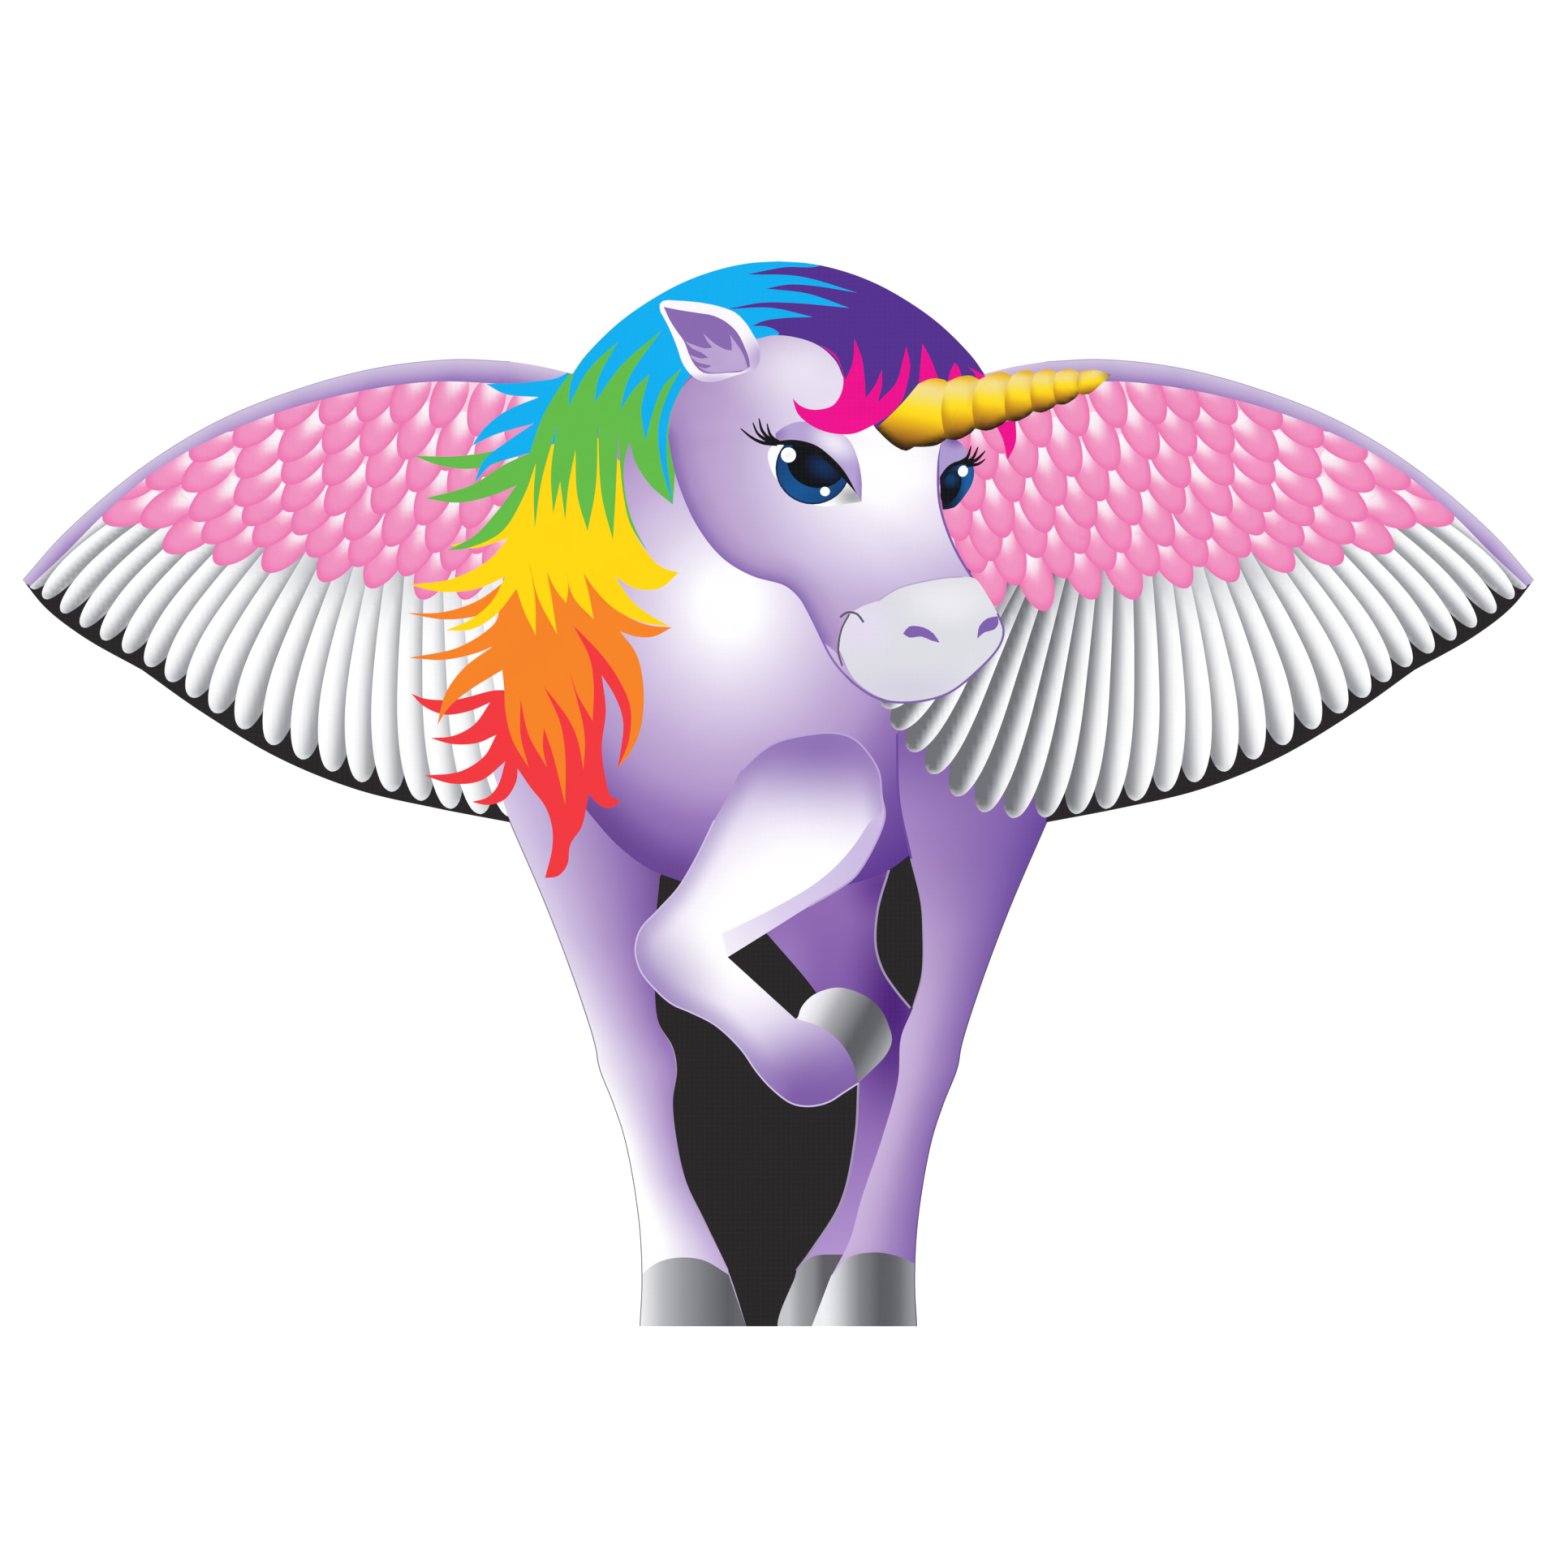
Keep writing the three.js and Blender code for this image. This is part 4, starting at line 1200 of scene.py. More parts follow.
def ranged(tree, value, low, high, to_low, to_high):
    """The value moved from one range to another, and kept within it."""
    made = tree.nodes.new("ShaderNodeMapRange")
    tree.links.new(value, made.inputs["Value"])
    for key, number in (("From Min", low), ("From Max", high), ("To Min", to_low), ("To Max", to_high)):
        made.inputs[key].default_value = number
    return made.outputs["Result"]


def mixed(tree, share, a, b, kind="MIX"):
    """Mix of two colours, each a socket or a hex code. A mix node's colours are its sockets 6 and 7."""
    made = tree.nodes.new("ShaderNodeMix")
    made.data_type = "RGBA"
    made.blend_type = kind
    link_or_set(tree, made.inputs[0], share)
    link_or_set(tree, made.inputs[6], a)
    link_or_set(tree, made.inputs[7], b)
    return made.outputs[2]


def link_or_set(tree, socket, value):
    """Gives a socket its value: another socket, a number or a hex code."""
    if isinstance(value, str):
        socket.default_value = (*rgb(value), 1)
    elif isinstance(value, (int, float)):
        socket.default_value = value
    else:
        tree.links.new(value, socket)


def bumped(tree, shader, height, strength, distance):
    """Fine relief on a shader, with a height of that many metres."""
    made = tree.nodes.new("ShaderNodeBump")
    made.inputs["Strength"].default_value = strength
    made.inputs["Distance"].default_value = distance
    tree.links.new(height, made.inputs["Height"])
    tree.links.new(made.outputs["Normal"], shader.inputs["Normal"])


def weave(tree, place, threads):
    """Height of a plain weave, with that many threads to the metre."""
    scale = threads * math.pi / 10
    warp = wave(tree, place, scale, "X")
    weft = wave(tree, place, scale, "Y")
    return maths(tree, "MULTIPLY", warp, weft)


def ripstop(tree, place, spacing):
    """Thicker threads that cross the cloth in squares: 1 on a thread and 0 between."""
    bands = []
    for direction in "XY":
        band = wave(tree, place, math.pi / spacing / 10, direction)
        bands.append(ranged(tree, band, 0.9, 1.0, 0.0, 1.0))
    return maths(tree, "MAXIMUM", *bands)


def printed_cloth():
    """Dye-printed ripstop polyester: the print, a fine weave with a ripstop square, and a soft sheen."""
    mat, tree, shader = new_material("printed_cloth", 0.62)
    place = place_on_cloth(tree)
    dye = tree.nodes.new("ShaderNodeVertexColor")
    dye.layer_name = "print"
    grid = ripstop(tree, place, 0.005)
    cloud = noise(tree, place, 22, 4)
    tone = mixed(tree, maths(tree, "MULTIPLY", grid, 0.02), dye.outputs["Color"], "8a8a90")
    shade = mixed(tree, ranged(tree, cloud, 0.3, 0.7, 0.0, 0.035), tone, "b8b4c0", "MULTIPLY")
    tree.links.new(shade, shader.inputs["Base Color"])
    tree.links.new(ranged(tree, cloud, 0.3, 0.7, 0.55, 0.68), shader.inputs["Roughness"])
    shader.inputs["Sheen Weight"].default_value = 0.03
    shader.inputs["Sheen Roughness"].default_value = 0.5
    shader.inputs["Specular IOR Level"].default_value = 0.09
    height = maths(tree, "ADD", maths(tree, "MULTIPLY", weave(tree, place, 2600), 0.35), grid)
    bumped(tree, shader, height, 0.2, 0.00006)
    return mat


def woven(name, dark, light, threads, roughness=0.8, grid=0.0):
    """Plain woven cloth or tape in two close shades."""
    mat, tree, shader = new_material(name, roughness)
    place = place_on_cloth(tree)
    threads_up = weave(tree, place, threads)
    blotch = noise(tree, place, 60, 5, 0.6)
    colour = mixed(tree, ranged(tree, threads_up, 0.0, 0.8, 0.0, 1.0), dark, light)
    worn = mixed(tree, ranged(tree, blotch, 0.35, 0.75, 0.0, 0.25), colour, light)
    height = threads_up
    if grid:
        lines = ripstop(tree, place, grid)
        worn = mixed(tree, maths(tree, "MULTIPLY", lines, 0.5), worn, dark)
        height = maths(tree, "ADD", threads_up, lines)
    tree.links.new(worn, shader.inputs["Base Color"])
    tree.links.new(
        ranged(tree, blotch, 0.3, 0.7, roughness - 0.08, roughness + 0.06),
        shader.inputs["Roughness"])
    shader.inputs["Sheen Weight"].default_value = 0.25
    bumped(tree, shader, height, 0.5, 0.0001)
    return mat


def thread(name, code):
    """Twisted sewing thread."""
    mat, tree, shader = new_material(name, 0.5)
    place = place_on_cloth(tree)
    twist = wave(tree, scaled(tree, place, (1, 1, 1), 35), 140, "X")
    colour = mixed(tree, ranged(tree, twist, 0.2, 0.8, 0.0, 0.5), code, "2a2830")
    tree.links.new(colour, shader.inputs["Base Color"])
    shader.inputs["Sheen Weight"].default_value = 0.3
    bumped(tree, shader, twist, 0.6, 0.0001)
    return mat


def glass_fibre():
    """Pultruded rod: dark resin with streaks of fibre along it and a worn gloss."""
    mat, tree, shader = new_material("glass_fibre", 0.3)
    place = place_on_cloth(tree)
    streak = noise(tree, scaled(tree, place, (6, 1600, 1)), 1.0, 6, 0.65)
    scuff = noise(tree, place, 70, 6, 0.7)
    colour = mixed(tree, ranged(tree, streak, 0.35, 0.7, 0.0, 1.0), "101215", "3a4048")
    tree.links.new(colour, shader.inputs["Base Color"])
    tree.links.new(ranged(tree, scuff, 0.3, 0.75, 0.22, 0.5), shader.inputs["Roughness"])
    shader.inputs["Coat Weight"].default_value = 0.3
    shader.inputs["Coat Roughness"].default_value = 0.2
    bumped(tree, shader, streak, 0.25, 0.00006)
    return mat


def vinyl():
    """Soft black dip-moulded vinyl with a satin skin and a little dust."""
    mat, tree, shader = new_material("vinyl", 0.38)
    place = place_on_cloth(tree)
    dust = noise(tree, place, 180, 6, 0.7)
    skin = noise(tree, place, 700, 3, 0.5)
    tree.links.new(
        mixed(tree, ranged(tree, dust, 0.5, 0.8, 0.0, 0.3), "0c0c0e", "4a484c"),
        shader.inputs["Base Color"])
    tree.links.new(ranged(tree, dust, 0.3, 0.7, 0.3, 0.5), shader.inputs["Roughness"])
    bumped(tree, shader, skin, 0.3, 0.0001)
    return mat


def moulding():
    """Injection-moulded nylon: fine spark-eroded grain, paler on worn edges."""
    mat, tree, shader = new_material("moulding", 0.5)
    where = tree.nodes.new("ShaderNodeTexCoord").outputs["Object"]
    grain = noise(tree, where, 2600, 2, 0.6)
    cloud = noise(tree, where, 120, 5, 0.6)
    shape = tree.nodes.new("ShaderNodeNewGeometry")
    edges = ranged(tree, shape.outputs["Pointiness"], 0.52, 0.6, 0.0, 0.5)
    base = mixed(tree, ranged(tree, cloud, 0.35, 0.7, 0.0, 0.6), "131417", "232428")
    tree.links.new(mixed(tree, edges, base, "56565c"), shader.inputs["Base Color"])
    tree.links.new(ranged(tree, cloud, 0.3, 0.7, 0.42, 0.6), shader.inputs["Roughness"])
    bumped(tree, shader, grain, 0.35, 0.0001)
    return mat


def bright_metal():
    """Drawn aluminium with fine lines round it."""
    mat, tree, shader = new_material("bright_metal", 0.28, 1.0)
    where = tree.nodes.new("ShaderNodeTexCoord").outputs["Object"]
    lines = noise(tree, scaled(tree, where, (60, 60, 2400)), 1.0, 5, 0.6)
    smudge = noise(tree, where, 90, 4, 0.6)
    tree.links.new(
        mixed(tree, ranged(tree, lines, 0.3, 0.7, 0.0, 1.0), "8f9298", "c9cbd0"),
        shader.inputs["Base Color"])
    tree.links.new(ranged(tree, smudge, 0.3, 0.7, 0.2, 0.42), shader.inputs["Roughness"])
    bumped(tree, shader, lines, 0.2, 0.00005)
    return mat


CLOTH = printed_cloth()
TAPE_CLOTH = woven("hem_tape", "0d0c0e", "38353b", 1500)
SLEEVE_CLOTH = woven("sleeve_cloth", "c9c5d2", "f1eef6", 2200, 0.72, 0.004)
WEBBING = woven("webbing", "0b0b0d", "3b3a40", 700, 0.85)
DARK_THREAD = thread("dark_thread", "3a373e")
PALE_THREAD = thread("pale_thread", "b9b3c6")
GLASS_FIBRE = glass_fibre()
VINYL = vinyl()
MOULDING = moulding()
METAL = bright_metal()


# ---- Sail ----
def inside(points, loop):
    """Which points lie inside a closed loop."""
    x, z = points[:, 0], points[:, 1]
    within = np.zeros(len(points), bool)
    for (x0, z0), (x1, z1) in zip(loop, np.roll(loop, -1, axis=0)):
        if z0 != z1:
            crosses = (z0 > z) != (z1 > z)
            within ^= crosses & (x < x0 + (x1 - x0) * (z - z0) / (z1 - z0))
    return within


def cut_up():
    """The sail as triangles that follow every edge in the print: points, triangles and their colours."""
    picture = whole_print()
    half_span = LEADING_EDGE[-1][0]
    across, up = np.arange(-half_span, half_span + 1, GRID), np.arange(HEM_Z, TOP_Z, GRID)
    grid = np.stack(np.meshgrid(across, up), axis=-1).reshape(-1, 2)
    loops = [SAIL] + [shape for shape, _ in picture.shapes[1:]]
    for side, reach in BEND_REACH.items():
        x = side * (FOLD_X - reach)
        loops.append(np.array([(x, -400), (x, 200)], float))
    loops.append(np.array([(-FOLD_X, WAIST_Z), (FOLD_X, WAIST_Z)], float))
    points = [grid[inside(grid, SAIL)]]
    edges = []
    count = len(points[0])
    for loop in loops:
        n = len(loop)
        edges += [(count + i, count + (i + 1) % n) for i in range(n if n > 2 else 1)]
        points.append(loop)
        count += n
    made = geometry.delaunay_2d_cdt([Vector(p) for p in np.vstack(points)], edges, [], 0, 1e-3, False)
    verts = np.array([tuple(v) for v in made[0]])
    tris = np.array(made[2])
    tris = tris[inside(verts[tris].mean(axis=1), SAIL)]
    return verts, tris, painted(picture, verts[tris])


def painted(picture, corners):
    """The colour at each triangle's corners, from the topmost shape that the triangle lies in."""
    middle = corners.mean(axis=1)
    colours = np.zeros((len(corners), 3, 3))
    left = np.arange(len(corners))
    for shape, paint in reversed(picture.shapes):
        near = np.all((middle[left] > shape.min(axis=0)) & (middle[left] < shape.max(axis=0)), axis=1)
        some = left[near]
        hit = some[inside(middle[some], shape)]
        if len(hit):
            colours[hit] = paint(corners[hit].reshape(-1, 2)).reshape(-1, 3, 3)
            left = np.setdiff1d(left, hit, assume_unique=True)
    return np.clip(colours, 0, 1)


def rim_faces(index, count):
    """Faces that join the edge of the front to the edge of the back, whose points come count places later."""
    sides = np.vstack([index[:, [0, 1]], index[:, [1, 2]], index[:, [2, 0]]])
    keys = np.sort(sides, axis=1)
    _, first, times = np.unique(keys[:, 0] * count + keys[:, 1], return_index=True, return_counts=True)
    a, b = sides[first[times == 1]].T
    return np.vstack([np.stack([b, a, a + count], axis=1), np.stack([b, a + count, b + count], axis=1)])


def reverse_of(colours):
    """What the print looks like from behind: paler and greyer."""
    grey = colours.mean(axis=2, keepdims=True)
    return 0.6 * colours + 0.28 * grey + 0.09


def area_of(corners):
    """Area of all the triangles together."""
    a, b = corners[:, 1] - corners[:, 0], corners[:, 2] - corners[:, 0]
    return np.abs(a[:, 0] * b[:, 1] - a[:, 1] * b[:, 0]).sum() / 2


def sail_piece(name, verts, tris, colours):
    """A panel of cloth, its area and its size: print in front, reverse behind, and a dark sealed edge."""
    used, index = np.unique(tris, return_inverse=True)
    index = index.reshape(-1, 3)
    flat = verts[used]
    front = np.stack([flat[:, 0], depth_of(flat), flat[:, 1]], axis=1)
    back = front + [0, SAIL_T, 0]
    rims = rim_faces(index, len(flat))
    faces = np.vstack([index, index[:, ::-1] + len(flat), rims])
    mesh = bpy.data.meshes.new(name)
    mesh.from_pydata((np.vstack([front, back]) * MM).tolist(), [], faces.tolist())
    values = np.ones((len(faces) * 3, 4), np.float32)
    sealed_edge = np.full((len(rims), 3, 3), 0.03)
    values[:, :3] = np.vstack([colours, reverse_of(colours[:, ::-1]), sealed_edge]).reshape(-1, 3)
    mesh.color_attributes.new("print", "FLOAT_COLOR", "CORNER").data.foreach_set("color", values.ravel())
    places = np.vstack([flat, flat])[faces.ravel()] * MM
    mesh.uv_layers.new(name="cloth").data.foreach_set("uv", places.astype(np.float32).ravel())
    mesh.materials.append(CLOTH)
    mesh.shade_smooth()
    mesh.set_sharp_from_angle(angle=math.radians(40))
    piece = bpy.data.objects.new(name, mesh)
    bpy.context.collection.objects.link(piece)
    return piece, area_of(verts[tris]) * MM ** 2, np.ptp(flat, axis=0) * MM


def bends(piece):
    """Bakes the piece's placement into its mesh."""
    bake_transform(piece)


def build_sail():
    """Two wings and the two halves of the body panel."""
    verts, tris, colours = cut_up()
    x, z = verts[tris].mean(axis=1).T
    left = x < -FOLD_X + BEND_REACH[-1]
    right = x > FOLD_X - BEND_REACH[1]
    upper = z > WAIST_Z
    panels = [
        ("left_wing_print", left, -1, "left_wing_sail", "left_leading_rod"),
        ("right_wing_print", right, 1, "right_wing_sail", "right_leading_rod"),
        ("upper_body_print", ~left & ~right & upper, 0, "body_sail", "spine_upper_rod"),
        ("lower_body_print", ~left & ~right & ~upper, 0, "body_sail", "spine_lower_rod")]
    for name, chosen, side, stands_for, rests in panels:
        piece, area, flat = sail_piece(name, verts, tris[chosen], colours[chosen])
        if side:
            bends(piece)
        else:
            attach(piece, "body")
        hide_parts(stands_for)


# ---- Hems, sleeves, pockets and patches ----
def finished(piece, body, node):
    """The piece rides on its body and stands for its CAD node."""
    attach(piece, body)
    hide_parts(node)
    return piece


def sewn_on(piece, body, node):
    """A finished piece of tape or cloth that belongs to a panel of the sail."""
    finished(piece, body, node)
    if body == "body":
        middle = sum(v.co.z for v in piece.data.vertices) / len(piece.data.vertices)
        panel = "upper_body_print" if middle > WAIST_Z * MM else "lower_body_print"
    else:
        panel = f"{body}_print"
    SEWN[panel].append(piece)


def hem_piece(name, path, side):
    """Folded black tape, sewn on with two rows of stitches."""
    build = Build(side)
    low, high = TAPE
    profile = [
        (0.5, low), (0.4, low + 0.25), (0.7, high), (HEM_W - 0.4, high), (HEM_W, low + 0.2),
        (HEM_W - 0.1, low)]
    swept(build, path, profile, follows=True)
    for across in (1.7, HEM_W - 1.7):
        stitches(build, path, across, high - 0.06, follows=True)
    return build.piece(name, [TAPE_CLOTH, DARK_THREAD])


def build_hems():
    """Tape on the free edges: where it starts and ends along each of them, and whether a wing carries it."""
    edges = {
        "tip_hem": (TIP_SCALLOP, 3, -1.5, True),
        "trailing_hem": (MAIN_SCALLOP, 2, -HEM_CLEAR, True),
        "leg_hem": (LEG, HEM_CLEAR, -14, False),
        "shoulder_hem": (SHOULDER, 9, -HEM_CLEAR + 3, False),
    }
    for side, word in SIDES:
        for kind, (points, start, end, on_wing) in edges.items():
            node = f"{word}_{kind}"
            path = stretch(np.array(spline(points)), start, end, 5)
            body = f"{word}_wing" if on_wing else "body"
            sewn_on(hem_piece(f"{node}_tape", path, side), body, node)


def sleeve_profile(rod_radius, rod_y, cloth, flange):
    """Cloth that arches over a rod and is sewn down on both sides of it."""
    inner = rod_radius + SLEEVE_ROOM
    outer = inner + cloth
    low = SAIL_T + 0.06
    high = low + cloth
    outside = [
        (outer + flange, low + 0.1), (outer + flange - 0.3, high), (outer + 1.3, high),
        (outer + 0.2, high + 1), (outer, (high + rod_y) / 2)]
    inside_half = [(inner, (high + rod_y) / 2), (inner + 0.2, low + 1), (inner + 1.3, low)]
    arch = [(outer * math.cos(a), rod_y + outer * math.sin(a)) for a in np.linspace(0, np.pi, 13)]
    under = [(inner * math.cos(a), rod_y + inner * math.sin(a)) for a in np.linspace(np.pi, 0, 13)]
    other_outside, other_inside = ([(-x, y) for x, y in half[::-1]] for half in (outside, inside_half))
    return outside + arch + other_outside + other_inside + under + inside_half


def puckers(path):
    """Slight swelling and pulling-in along a sewn sleeve."""
    s = lengths(path)
    return 1 + 0.012 * np.sin(s * 0.21) + 0.009 * np.sin(s * 0.53 + 1) + 0.006 * np.sin(s * 0.11 + 2)


def seams(build, path, places, cloth):
    """Rows of stitches at those distances on both sides of a sleeve or pocket."""
    for across in places:
        for turned_side in (-1, 1):
            stitches(build, path, turned_side * across, SAIL_T + cloth)


def sleeve_piece(name, path, rod_radius, rod_y, side=1):
    """A puckered cloth sleeve with two seams on each side of its rod."""
    build = Build(side)
    profile = sleeve_profile(rod_radius, rod_y, SLEEVE_T, SLEEVE_FLANGE)
    swept(build, path, profile, sizes=puckers(path), centre=SAIL_T)
    edge = rod_radius + SLEEVE_ROOM + SLEEVE_T
    seams(build, path, (edge + 2, edge + SLEEVE_FLANGE - 1.2), SLEEVE_T)
    return build.piece(name, [SLEEVE_CLOTH, PALE_THREAD])


def at_height(path, z):
    """How far along a falling path it passes that height."""
    return float(np.interp(-z, -path[:, 1], lengths(path)))


def upright(top, bottom, step=6):
    """A straight path down the middle of the sail."""
    return stretch(np.array([(0, top), (0, bottom)], float), 0, 0, step)


def level(start, end, z, step=6):
    """A straight path across the sail."""
    return stretch(np.array([(start, z), (end, z)], float), 0, 0, step)


def build_sleeves():
    """Sleeves on the leading edges, the hoop of the head, the feet and the spine."""
    crossing = at_height(LEADING_ROD, SPREADER_Z)
    lengths_of_sleeve = {
        "leading_sleeve_inner": (CAP_DEPTH + 2, crossing - 24),
        "leading_sleeve_outer": (crossing + 30, -18)}
    for side, word in SIDES:
        for kind, (start, end) in lengths_of_sleeve.items():
            node = f"{word}_{kind}"
            piece = sleeve_piece(f"{node}_cloth", stretch(LEADING_ROD, start, end), EDGE_R, EDGE_Y, side)
            sewn_on(piece, f"{word}_wing", node)
    hoop = stretch(HOOP, CAP_DEPTH * 1.3, -CAP_DEPTH * 1.3)
    hoop_sleeve = sleeve_piece("head_hoop_sleeve_cloth", hoop, EDGE_R, EDGE_Y)
    sewn_on(hoop_sleeve, "body", "head_hoop_sleeve")
    reach = FOOT_REACH - CAP_DEPTH - 2
    foot_sleeve = sleeve_piece("foot_sleeve_cloth", level(-reach, reach, FOOT_Z), EDGE_R, EDGE_Y)
    sewn_on(foot_sleeve, "body", "foot_sleeve")
    spine_room = SPINE_R + 0.9  # the spine's sleeve also passes over the collars
    for kind, top, bottom in (("top", 175.4, 12), ("middle", -50, -388), ("bottom", -412, -795.4)):
        node = f"spine_sleeve_{kind}"
        piece = sleeve_piece(f"{node}_cloth", upright(top, bottom), spine_room, SPINE_Y)
        sewn_on(piece, "body", node)


def pocket_piece(name, top, bottom, closed_at):
    """Webbing that holds a capped end of the spine, closed over its end."""
    path = upright(top, bottom, 1.5)
    build = Build()
    radius = SPINE_R + 1.2
    swept(build, path, sleeve_profile(radius, SPINE_Y, POCKET_T, POCKET_FLANGE))
    lid = [(radius * math.cos(a), SPINE_Y + radius * math.sin(a)) for a in np.linspace(0, np.pi, 13)]
    lid += [(-radius - 0.4, SAIL_T + 0.1), (radius + 0.4, SAIL_T + 0.1)]
    inward = POCKET_T if closed_at == top else -POCKET_T
    swept(build, np.array([(0, closed_at), (0, closed_at - inward)], float), lid)
    edge = radius + SLEEVE_ROOM + POCKET_T
    seams(build, path, (edge + 1.6, edge + 3.4, edge + 5.2), POCKET_T)
    return build.piece(name, [WEBBING, DARK_THREAD])


def ellipse(cx, cz, across, up, count=48):
    """A closed curve whose last point is its first one."""
    a = np.linspace(0, 2 * np.pi, count + 1)
    return np.stack([cx + across * np.cos(a), cz + up * np.sin(a)], axis=1)


def patch_piece(name, z):
    """A reinforcing patch behind a pair of bridle holes, with a sewn eyelet round each."""
    build = Build()
    loops = [ellipse(0, z, 15.8 * k, 5.8 * k)[:-1] for k in (1, 0.985, 0.93)]
    depths = (TAPE[0], TAPE[1] - 0.1, TAPE[1])
    n = len(loops[0])
    rings = [np.stack([loop[:, 0], np.full(n, y), loop[:, 1]], axis=1) for loop, y in zip(loops, depths)]
    points = np.vstack(rings)
    build.add(points, tube_faces(len(rings), n), points[:, [0, 2]])
    stitches(build, ellipse(0, z, 14, 4.4), 0, TAPE[1] - 0.05)
    for x in (-9, 9):
        swept(build, ellipse(x, z, 1.7, 1.7, 20), circle(0.5, TAPE[1], 8), kind=1)
    return build.piece(name, [WEBBING, PALE_THREAD])


def build_pockets_and_patches():
    """The pockets at both ends of the spine, and the patches for the flying line."""
    for node, top, bottom, closed_at in (
        ("nose_pocket", 195, 177.4, 195), ("foot_pocket", -797.4, -815, -815)):
        sewn_on(pocket_piece(f"{node}_webbing", top, bottom, closed_at), "body", node)
    for node, z in (("upper_bridle_patch", 0), ("lower_bridle_patch", -400)):
        sewn_on(patch_piece(f"{node}_cloth", z), "body", node)


# ---- Rods, caps, ferrule and collars ----
def cap_profile(rod_radius):
    """A dipped vinyl cap: a rolled lip, a slightly waisted wall and a rounded end."""
    r = rod_radius + 1.15
    return [
        (-CAP_DEPTH, r - 0.75), (-CAP_DEPTH, r - 0.1), (-CAP_DEPTH + 0.4, r + 0.05),
        (-CAP_DEPTH + 1.3, r + 0.05), (-CAP_DEPTH + 1.8, r - 0.12), (-CAP_DEPTH + 5, r - 0.16),
        (-3, r - 0.1), (0, r - 0.05), (CAP_END - 0.9, r - 0.15), (CAP_END - 0.3, r - 0.6),
        (CAP_END - 0.05, r - 1.3), (CAP_END, 0.4)]


def ring_profile(inner, outer, half):
    """A plain collar with rounded outer edges, that long to either side of its middle."""
    lip = 0.25
    return [
        (-half, inner), (-half, outer - lip), (-half + lip, outer), (half - lip, outer),
        (half, outer - lip), (half, inner)]


def cap_piece(node, at, direction, rod_radius, depth, body, side=1):
    """A cap over the end of a rod; direction points off that end."""
    piece = turned_piece(f"{node}_vinyl", at, direction, cap_profile(rod_radius), depth, VINYL, side)
    return finished(piece, body, node)


def build_wing_rods(side, word):
    """The rod along a leading edge with its caps and the collar that stops its connector."""
    wing, node = f"{word}_wing", f"{word}_leading_rod"
    finished(rod_piece(f"{node}_fibre", LEADING_ROD, EDGE_R, EDGE_Y, side), wing, node)
    start, end = LEADING_ROD[0], LEADING_ROD[-1]
    cap_piece(f"{word}_inner_cap", start, start - LEADING_ROD[1], EDGE_R, EDGE_Y, wing, side)
    cap_piece(f"{word}_tip_cap", end, end - LEADING_ROD[-2], EDGE_R, EDGE_Y, wing, side)
    crossing = at_height(LEADING_ROD, SPREADER_Z)
    place = stretch(LEADING_ROD, crossing + 18, crossing + 20, 1)
    profile = ring_profile(EDGE_R + 0.2, EDGE_R + 1.3, COLLAR_HALF)
    collar = turned_piece(
        f"{word}_connector_collar", place[0], place[-1] - place[0], profile, EDGE_Y, VINYL, side)
    finished(collar, wing, f"{word}_connector_stop")


def build_spreader_rod(side, word):
    """Half of the spreader and the cap on its tip."""
    spreader, node = f"{word}_spreader", f"{word}_spreader_rod"
    path = level(SPREADER_ROOT, SPREADER_END, SPREADER_Z, 12)
    finished(rod_piece(f"{node}_fibre", path, SPREADER_R, SPREADER_Y, side), spreader, node)
    cap_piece(f"{word}_spreader_tip_cap", path[-1], (1, 0), SPREADER_R, SPREADER_Y, spreader, side)


def build_body_caps(side, word):
    """The caps on one end of the foot rod and of the head's hoop."""
    cap_piece(f"foot_{word}_cap", (FOOT_REACH, FOOT_Z), (1, 0), EDGE_R, EDGE_Y, "body", side)
    cap_piece(f"hoop_{word}_cap", HOOP[0], HOOP[0] - HOOP[1], EDGE_R, EDGE_Y, "body", side)


def build_edge_rods():
    """The hoop of the head and the rod across the feet."""
    foot = level(-FOOT_REACH, FOOT_REACH, FOOT_Z, 12)
    for node, path in (("head_hoop_rod", HOOP), ("foot_rod", foot)):
        finished(rod_piece(f"{node}_fibre", path, EDGE_R, EDGE_Y), "body", node)


def build_spine():
    """Two rods, the tube that joins them, their caps, and the collars that stop the centre fitting."""
    for kind, high, low in (
            ("upper", SPINE_TOP, FERRULE_Z + 0.3), ("lower", FERRULE_Z - 0.3, SPINE_BOTTOM)):
        node = f"spine_{kind}_rod"
        piece = rod_piece(f"{node}_fibre", upright(high, low, 12), SPINE_R, SPINE_Y)
        finished(piece, "body", node)
    cap_piece("spine_top_cap", (0, SPINE_TOP), (0, 1), SPINE_R, SPINE_Y, "body")
    cap_piece("spine_bottom_cap", (0, SPINE_BOTTOM), (0, -1), SPINE_R, SPINE_Y, "body")
    end = -FERRULE_LENGTH / 2
    tube = [
        (end, 2.6), (end, 3.3), (end + 0.3, 3.5), (end + 0.9, 3.5), (end + 1.2, 3.35), (end + 7, 3.35),
        (end + 7.6, 3.1), (end + 8.6, 3.1), (end + 9.2, 3.35)]
    tube += [(-distance, radius) for distance, radius in reversed(tube)]
    ferrule = turned_piece("spine_ferrule_tube", (0, FERRULE_Z), (0, 1), tube, SPINE_Y, METAL)
    finished(ferrule, "body", "spine_ferrule")
    profile = ring_profile(SPINE_R + 0.2, SPINE_R + 1, COLLAR_HALF)
    for node, z in (("upper_stop", SPREADER_Z + 15), ("lower_stop", SPREADER_Z - 15)):
        collar = turned_piece(f"{node}_collar", (0, z), (0, 1), profile, SPINE_Y, VINYL)
        finished(collar, "body", node)


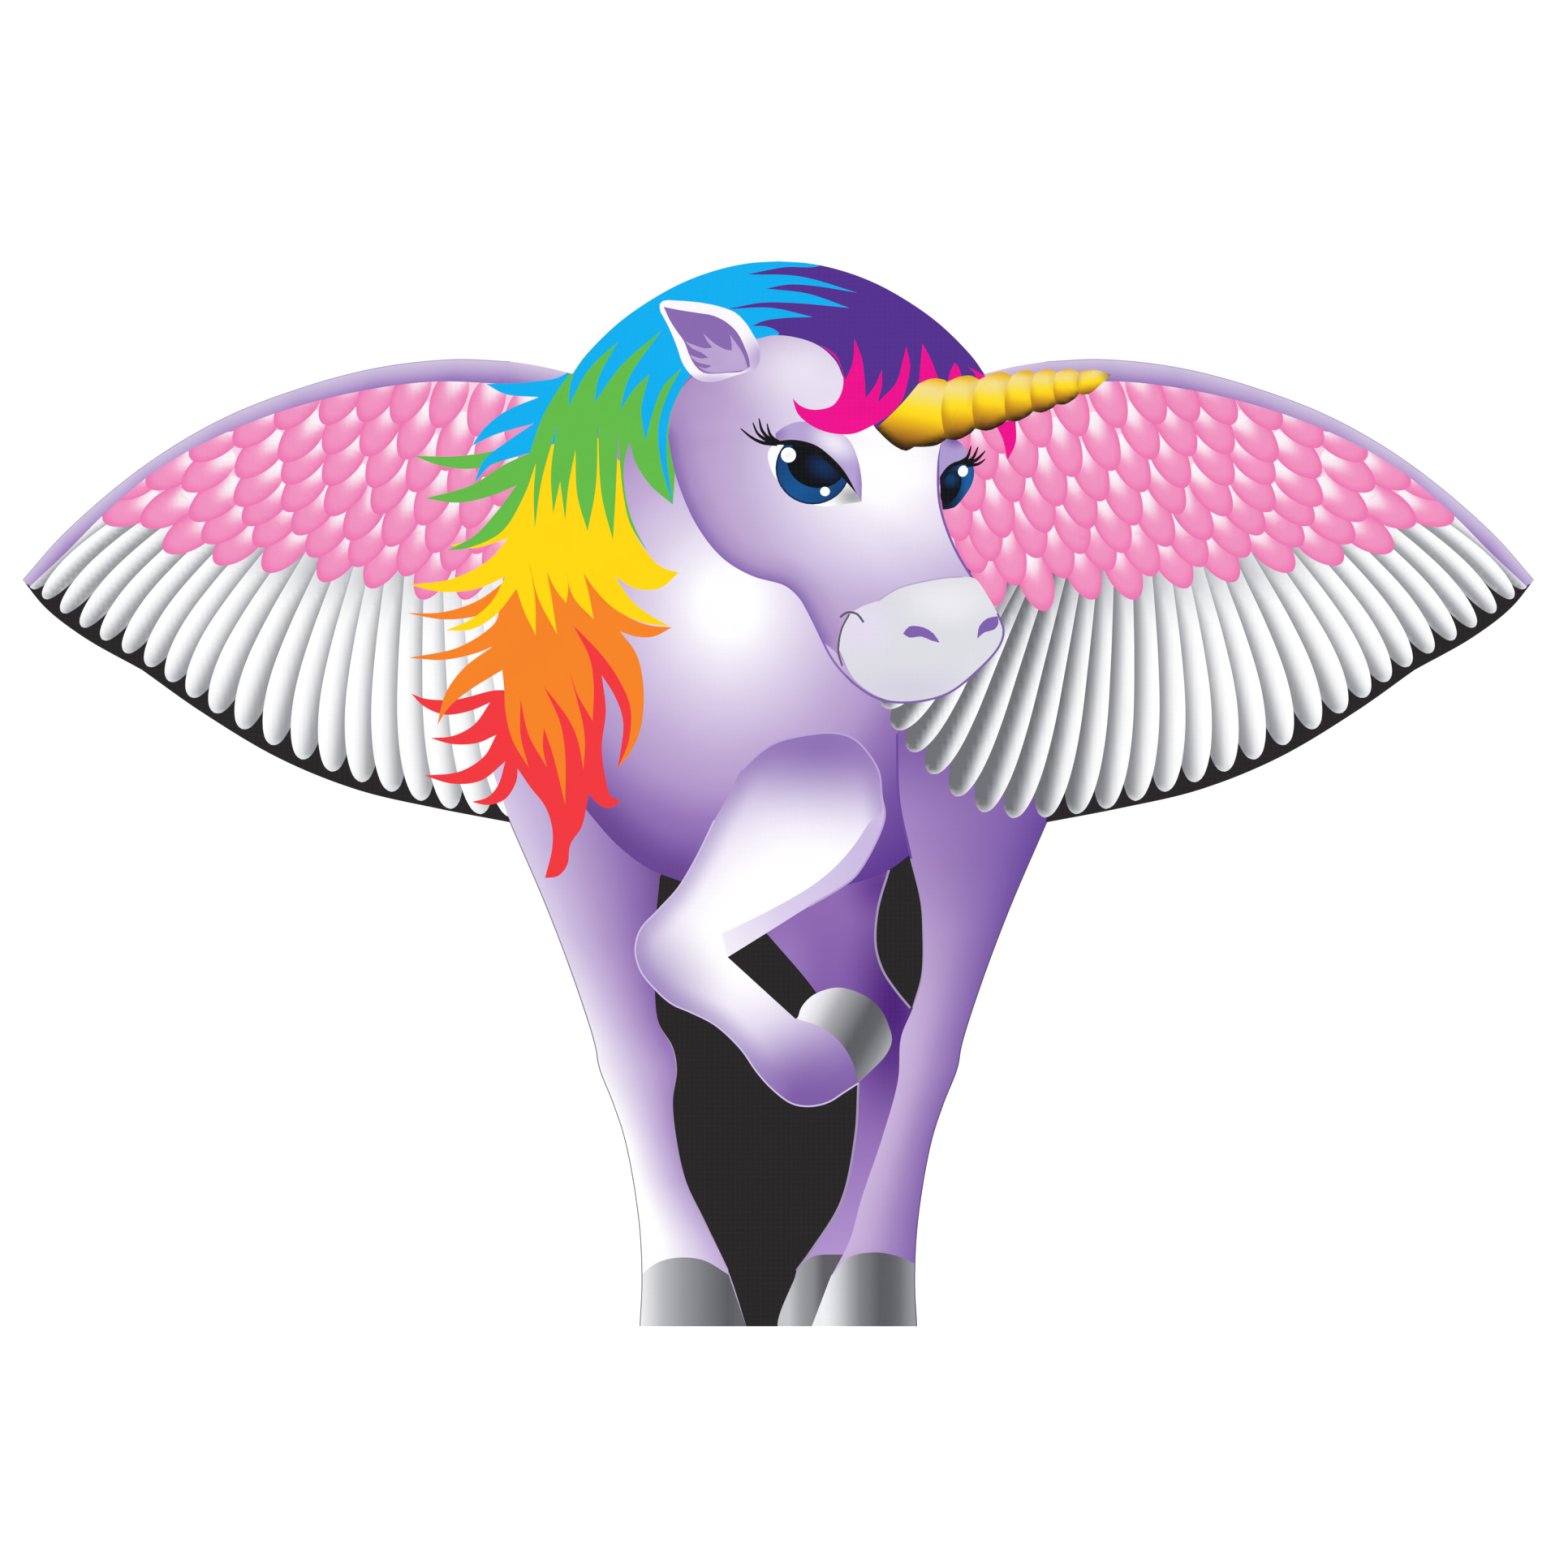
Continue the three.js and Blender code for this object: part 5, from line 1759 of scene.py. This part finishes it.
def build_rods():
    """Every rod with its caps and collars."""
    for side, word in SIDES:
        build_wing_rods(side, word)
        build_spreader_rod(side, word)
        build_body_caps(side, word)
    build_edge_rods()
    build_spine()


# ---- Moulded and metal fittings, which keep their CAD shape with softened edges ----
def soften(node, material, width):
    """Gives a CAD part its material, and rounds its edges."""
    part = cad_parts[node]
    part.data.materials.clear()
    part.data.materials.append(material)
    edge = part.modifiers.new("soft_edges", "BEVEL")
    edge.width = width * MM
    edge.segments = 2
    edge.limit_method = "ANGLE"
    edge.angle_limit = math.radians(35)
    edge.harden_normals = False


def build_fittings():
    """The centre fitting, the connectors, and the spreaders' sockets and pins."""
    soften("centre_fitting", MOULDING, 0.4)
    for _, word in SIDES:
        soften(f"{word}_leading_connector", MOULDING, 0.3)
        soften(f"{word}_spreader_socket", MOULDING, 0.3)
        soften(f"{word}_pivot_pin", METAL, 0.2)


# ---- Studio ----
def pale_floor():
    """A round white floor below the kite."""
    mat, tree, shader = new_material("pale_floor", 0.9)
    where = tree.nodes.new("ShaderNodeTexCoord").outputs["Object"]
    speck = noise(tree, where, 40, 6, 0.6)
    tree.links.new(
        mixed(tree, ranged(tree, speck, 0.3, 0.7, 0.0, 1.0), "f4f4f5", "ffffff"),
        shader.inputs["Base Color"])
    shader.inputs["Emission Color"].default_value = (1, 1, 1, 1)
    shader.inputs["Emission Strength"].default_value = 0.5
    mesh = bpy.data.meshes.new("floor")
    corners, radius, height = 96, 7, -0.95
    a = np.linspace(0, 2 * np.pi, corners, endpoint=False)
    rim = np.stack([radius * np.cos(a), radius * np.sin(a), np.full(corners, height)], axis=1)
    mesh.from_pydata(rim.tolist(), [], [tuple(range(corners))])
    mesh.materials.append(mat)
    floor = bpy.data.objects.new("floor", mesh)
    bpy.context.collection.objects.link(floor)


def softbox(name, place, target, size, power):
    """A square light of that size in metres and power in watts, turned to the target."""
    lamp = bpy.data.lights.new(name, "AREA")
    lamp.shape = "RECTANGLE"
    lamp.size, lamp.size_y = size
    lamp.energy = power
    box = bpy.data.objects.new(name, lamp)
    box.location = place
    box.rotation_euler = (Vector(target) - Vector(place)).to_track_quat("-Z", "Y").to_euler()
    bpy.context.collection.objects.link(box)


def studio():
    """White surroundings, three soft lights, the floor and the camera."""
    scene = bpy.context.scene
    world = bpy.data.worlds.new("studio")
    world.use_nodes = True
    backdrop = world.node_tree.nodes["Background"]
    backdrop.inputs["Color"].default_value = (1, 1, 1, 1)
    lit = world.node_tree.nodes.new("ShaderNodeLightPath")
    strength = ranged(world.node_tree, lit.outputs["Is Camera Ray"], 0, 1, WORLD_LIGHT, WORLD_SEEN)
    world.node_tree.links.new(strength, backdrop.inputs["Strength"])
    scene.world = world
    softbox("key", (-2.2, -3.4, 2.2), (0, 0, -0.3), (2.4, 2.4), 40.5)
    softbox("fill", (3.0, -3.0, 0.6), (0, 0, -0.3), (2.0, 2.0), 20)
    softbox("back", (1.5, 3.2, 2.4), (0, 0, -0.3), (2.4, 2.4), 48)
    pale_floor()
    scene.view_settings.view_transform = "Standard"
    scene.view_settings.look = "None"
    lens = bpy.data.cameras.new("camera")
    lens.sensor_width = SENSOR
    lens.lens = SENSOR * CAMERA_AWAY / FRAME_WIDTH
    camera = bpy.data.objects.new("camera", lens)
    camera.location = (FRAME_CENTRE[0], -CAMERA_AWAY, FRAME_CENTRE[1])
    camera.rotation_euler = (math.pi / 2, 0, 0)
    bpy.context.collection.objects.link(camera)
    scene.camera = camera


build_hems()
build_sleeves()
build_pockets_and_patches()
build_sail()
build_rods()
build_fittings()
studio()
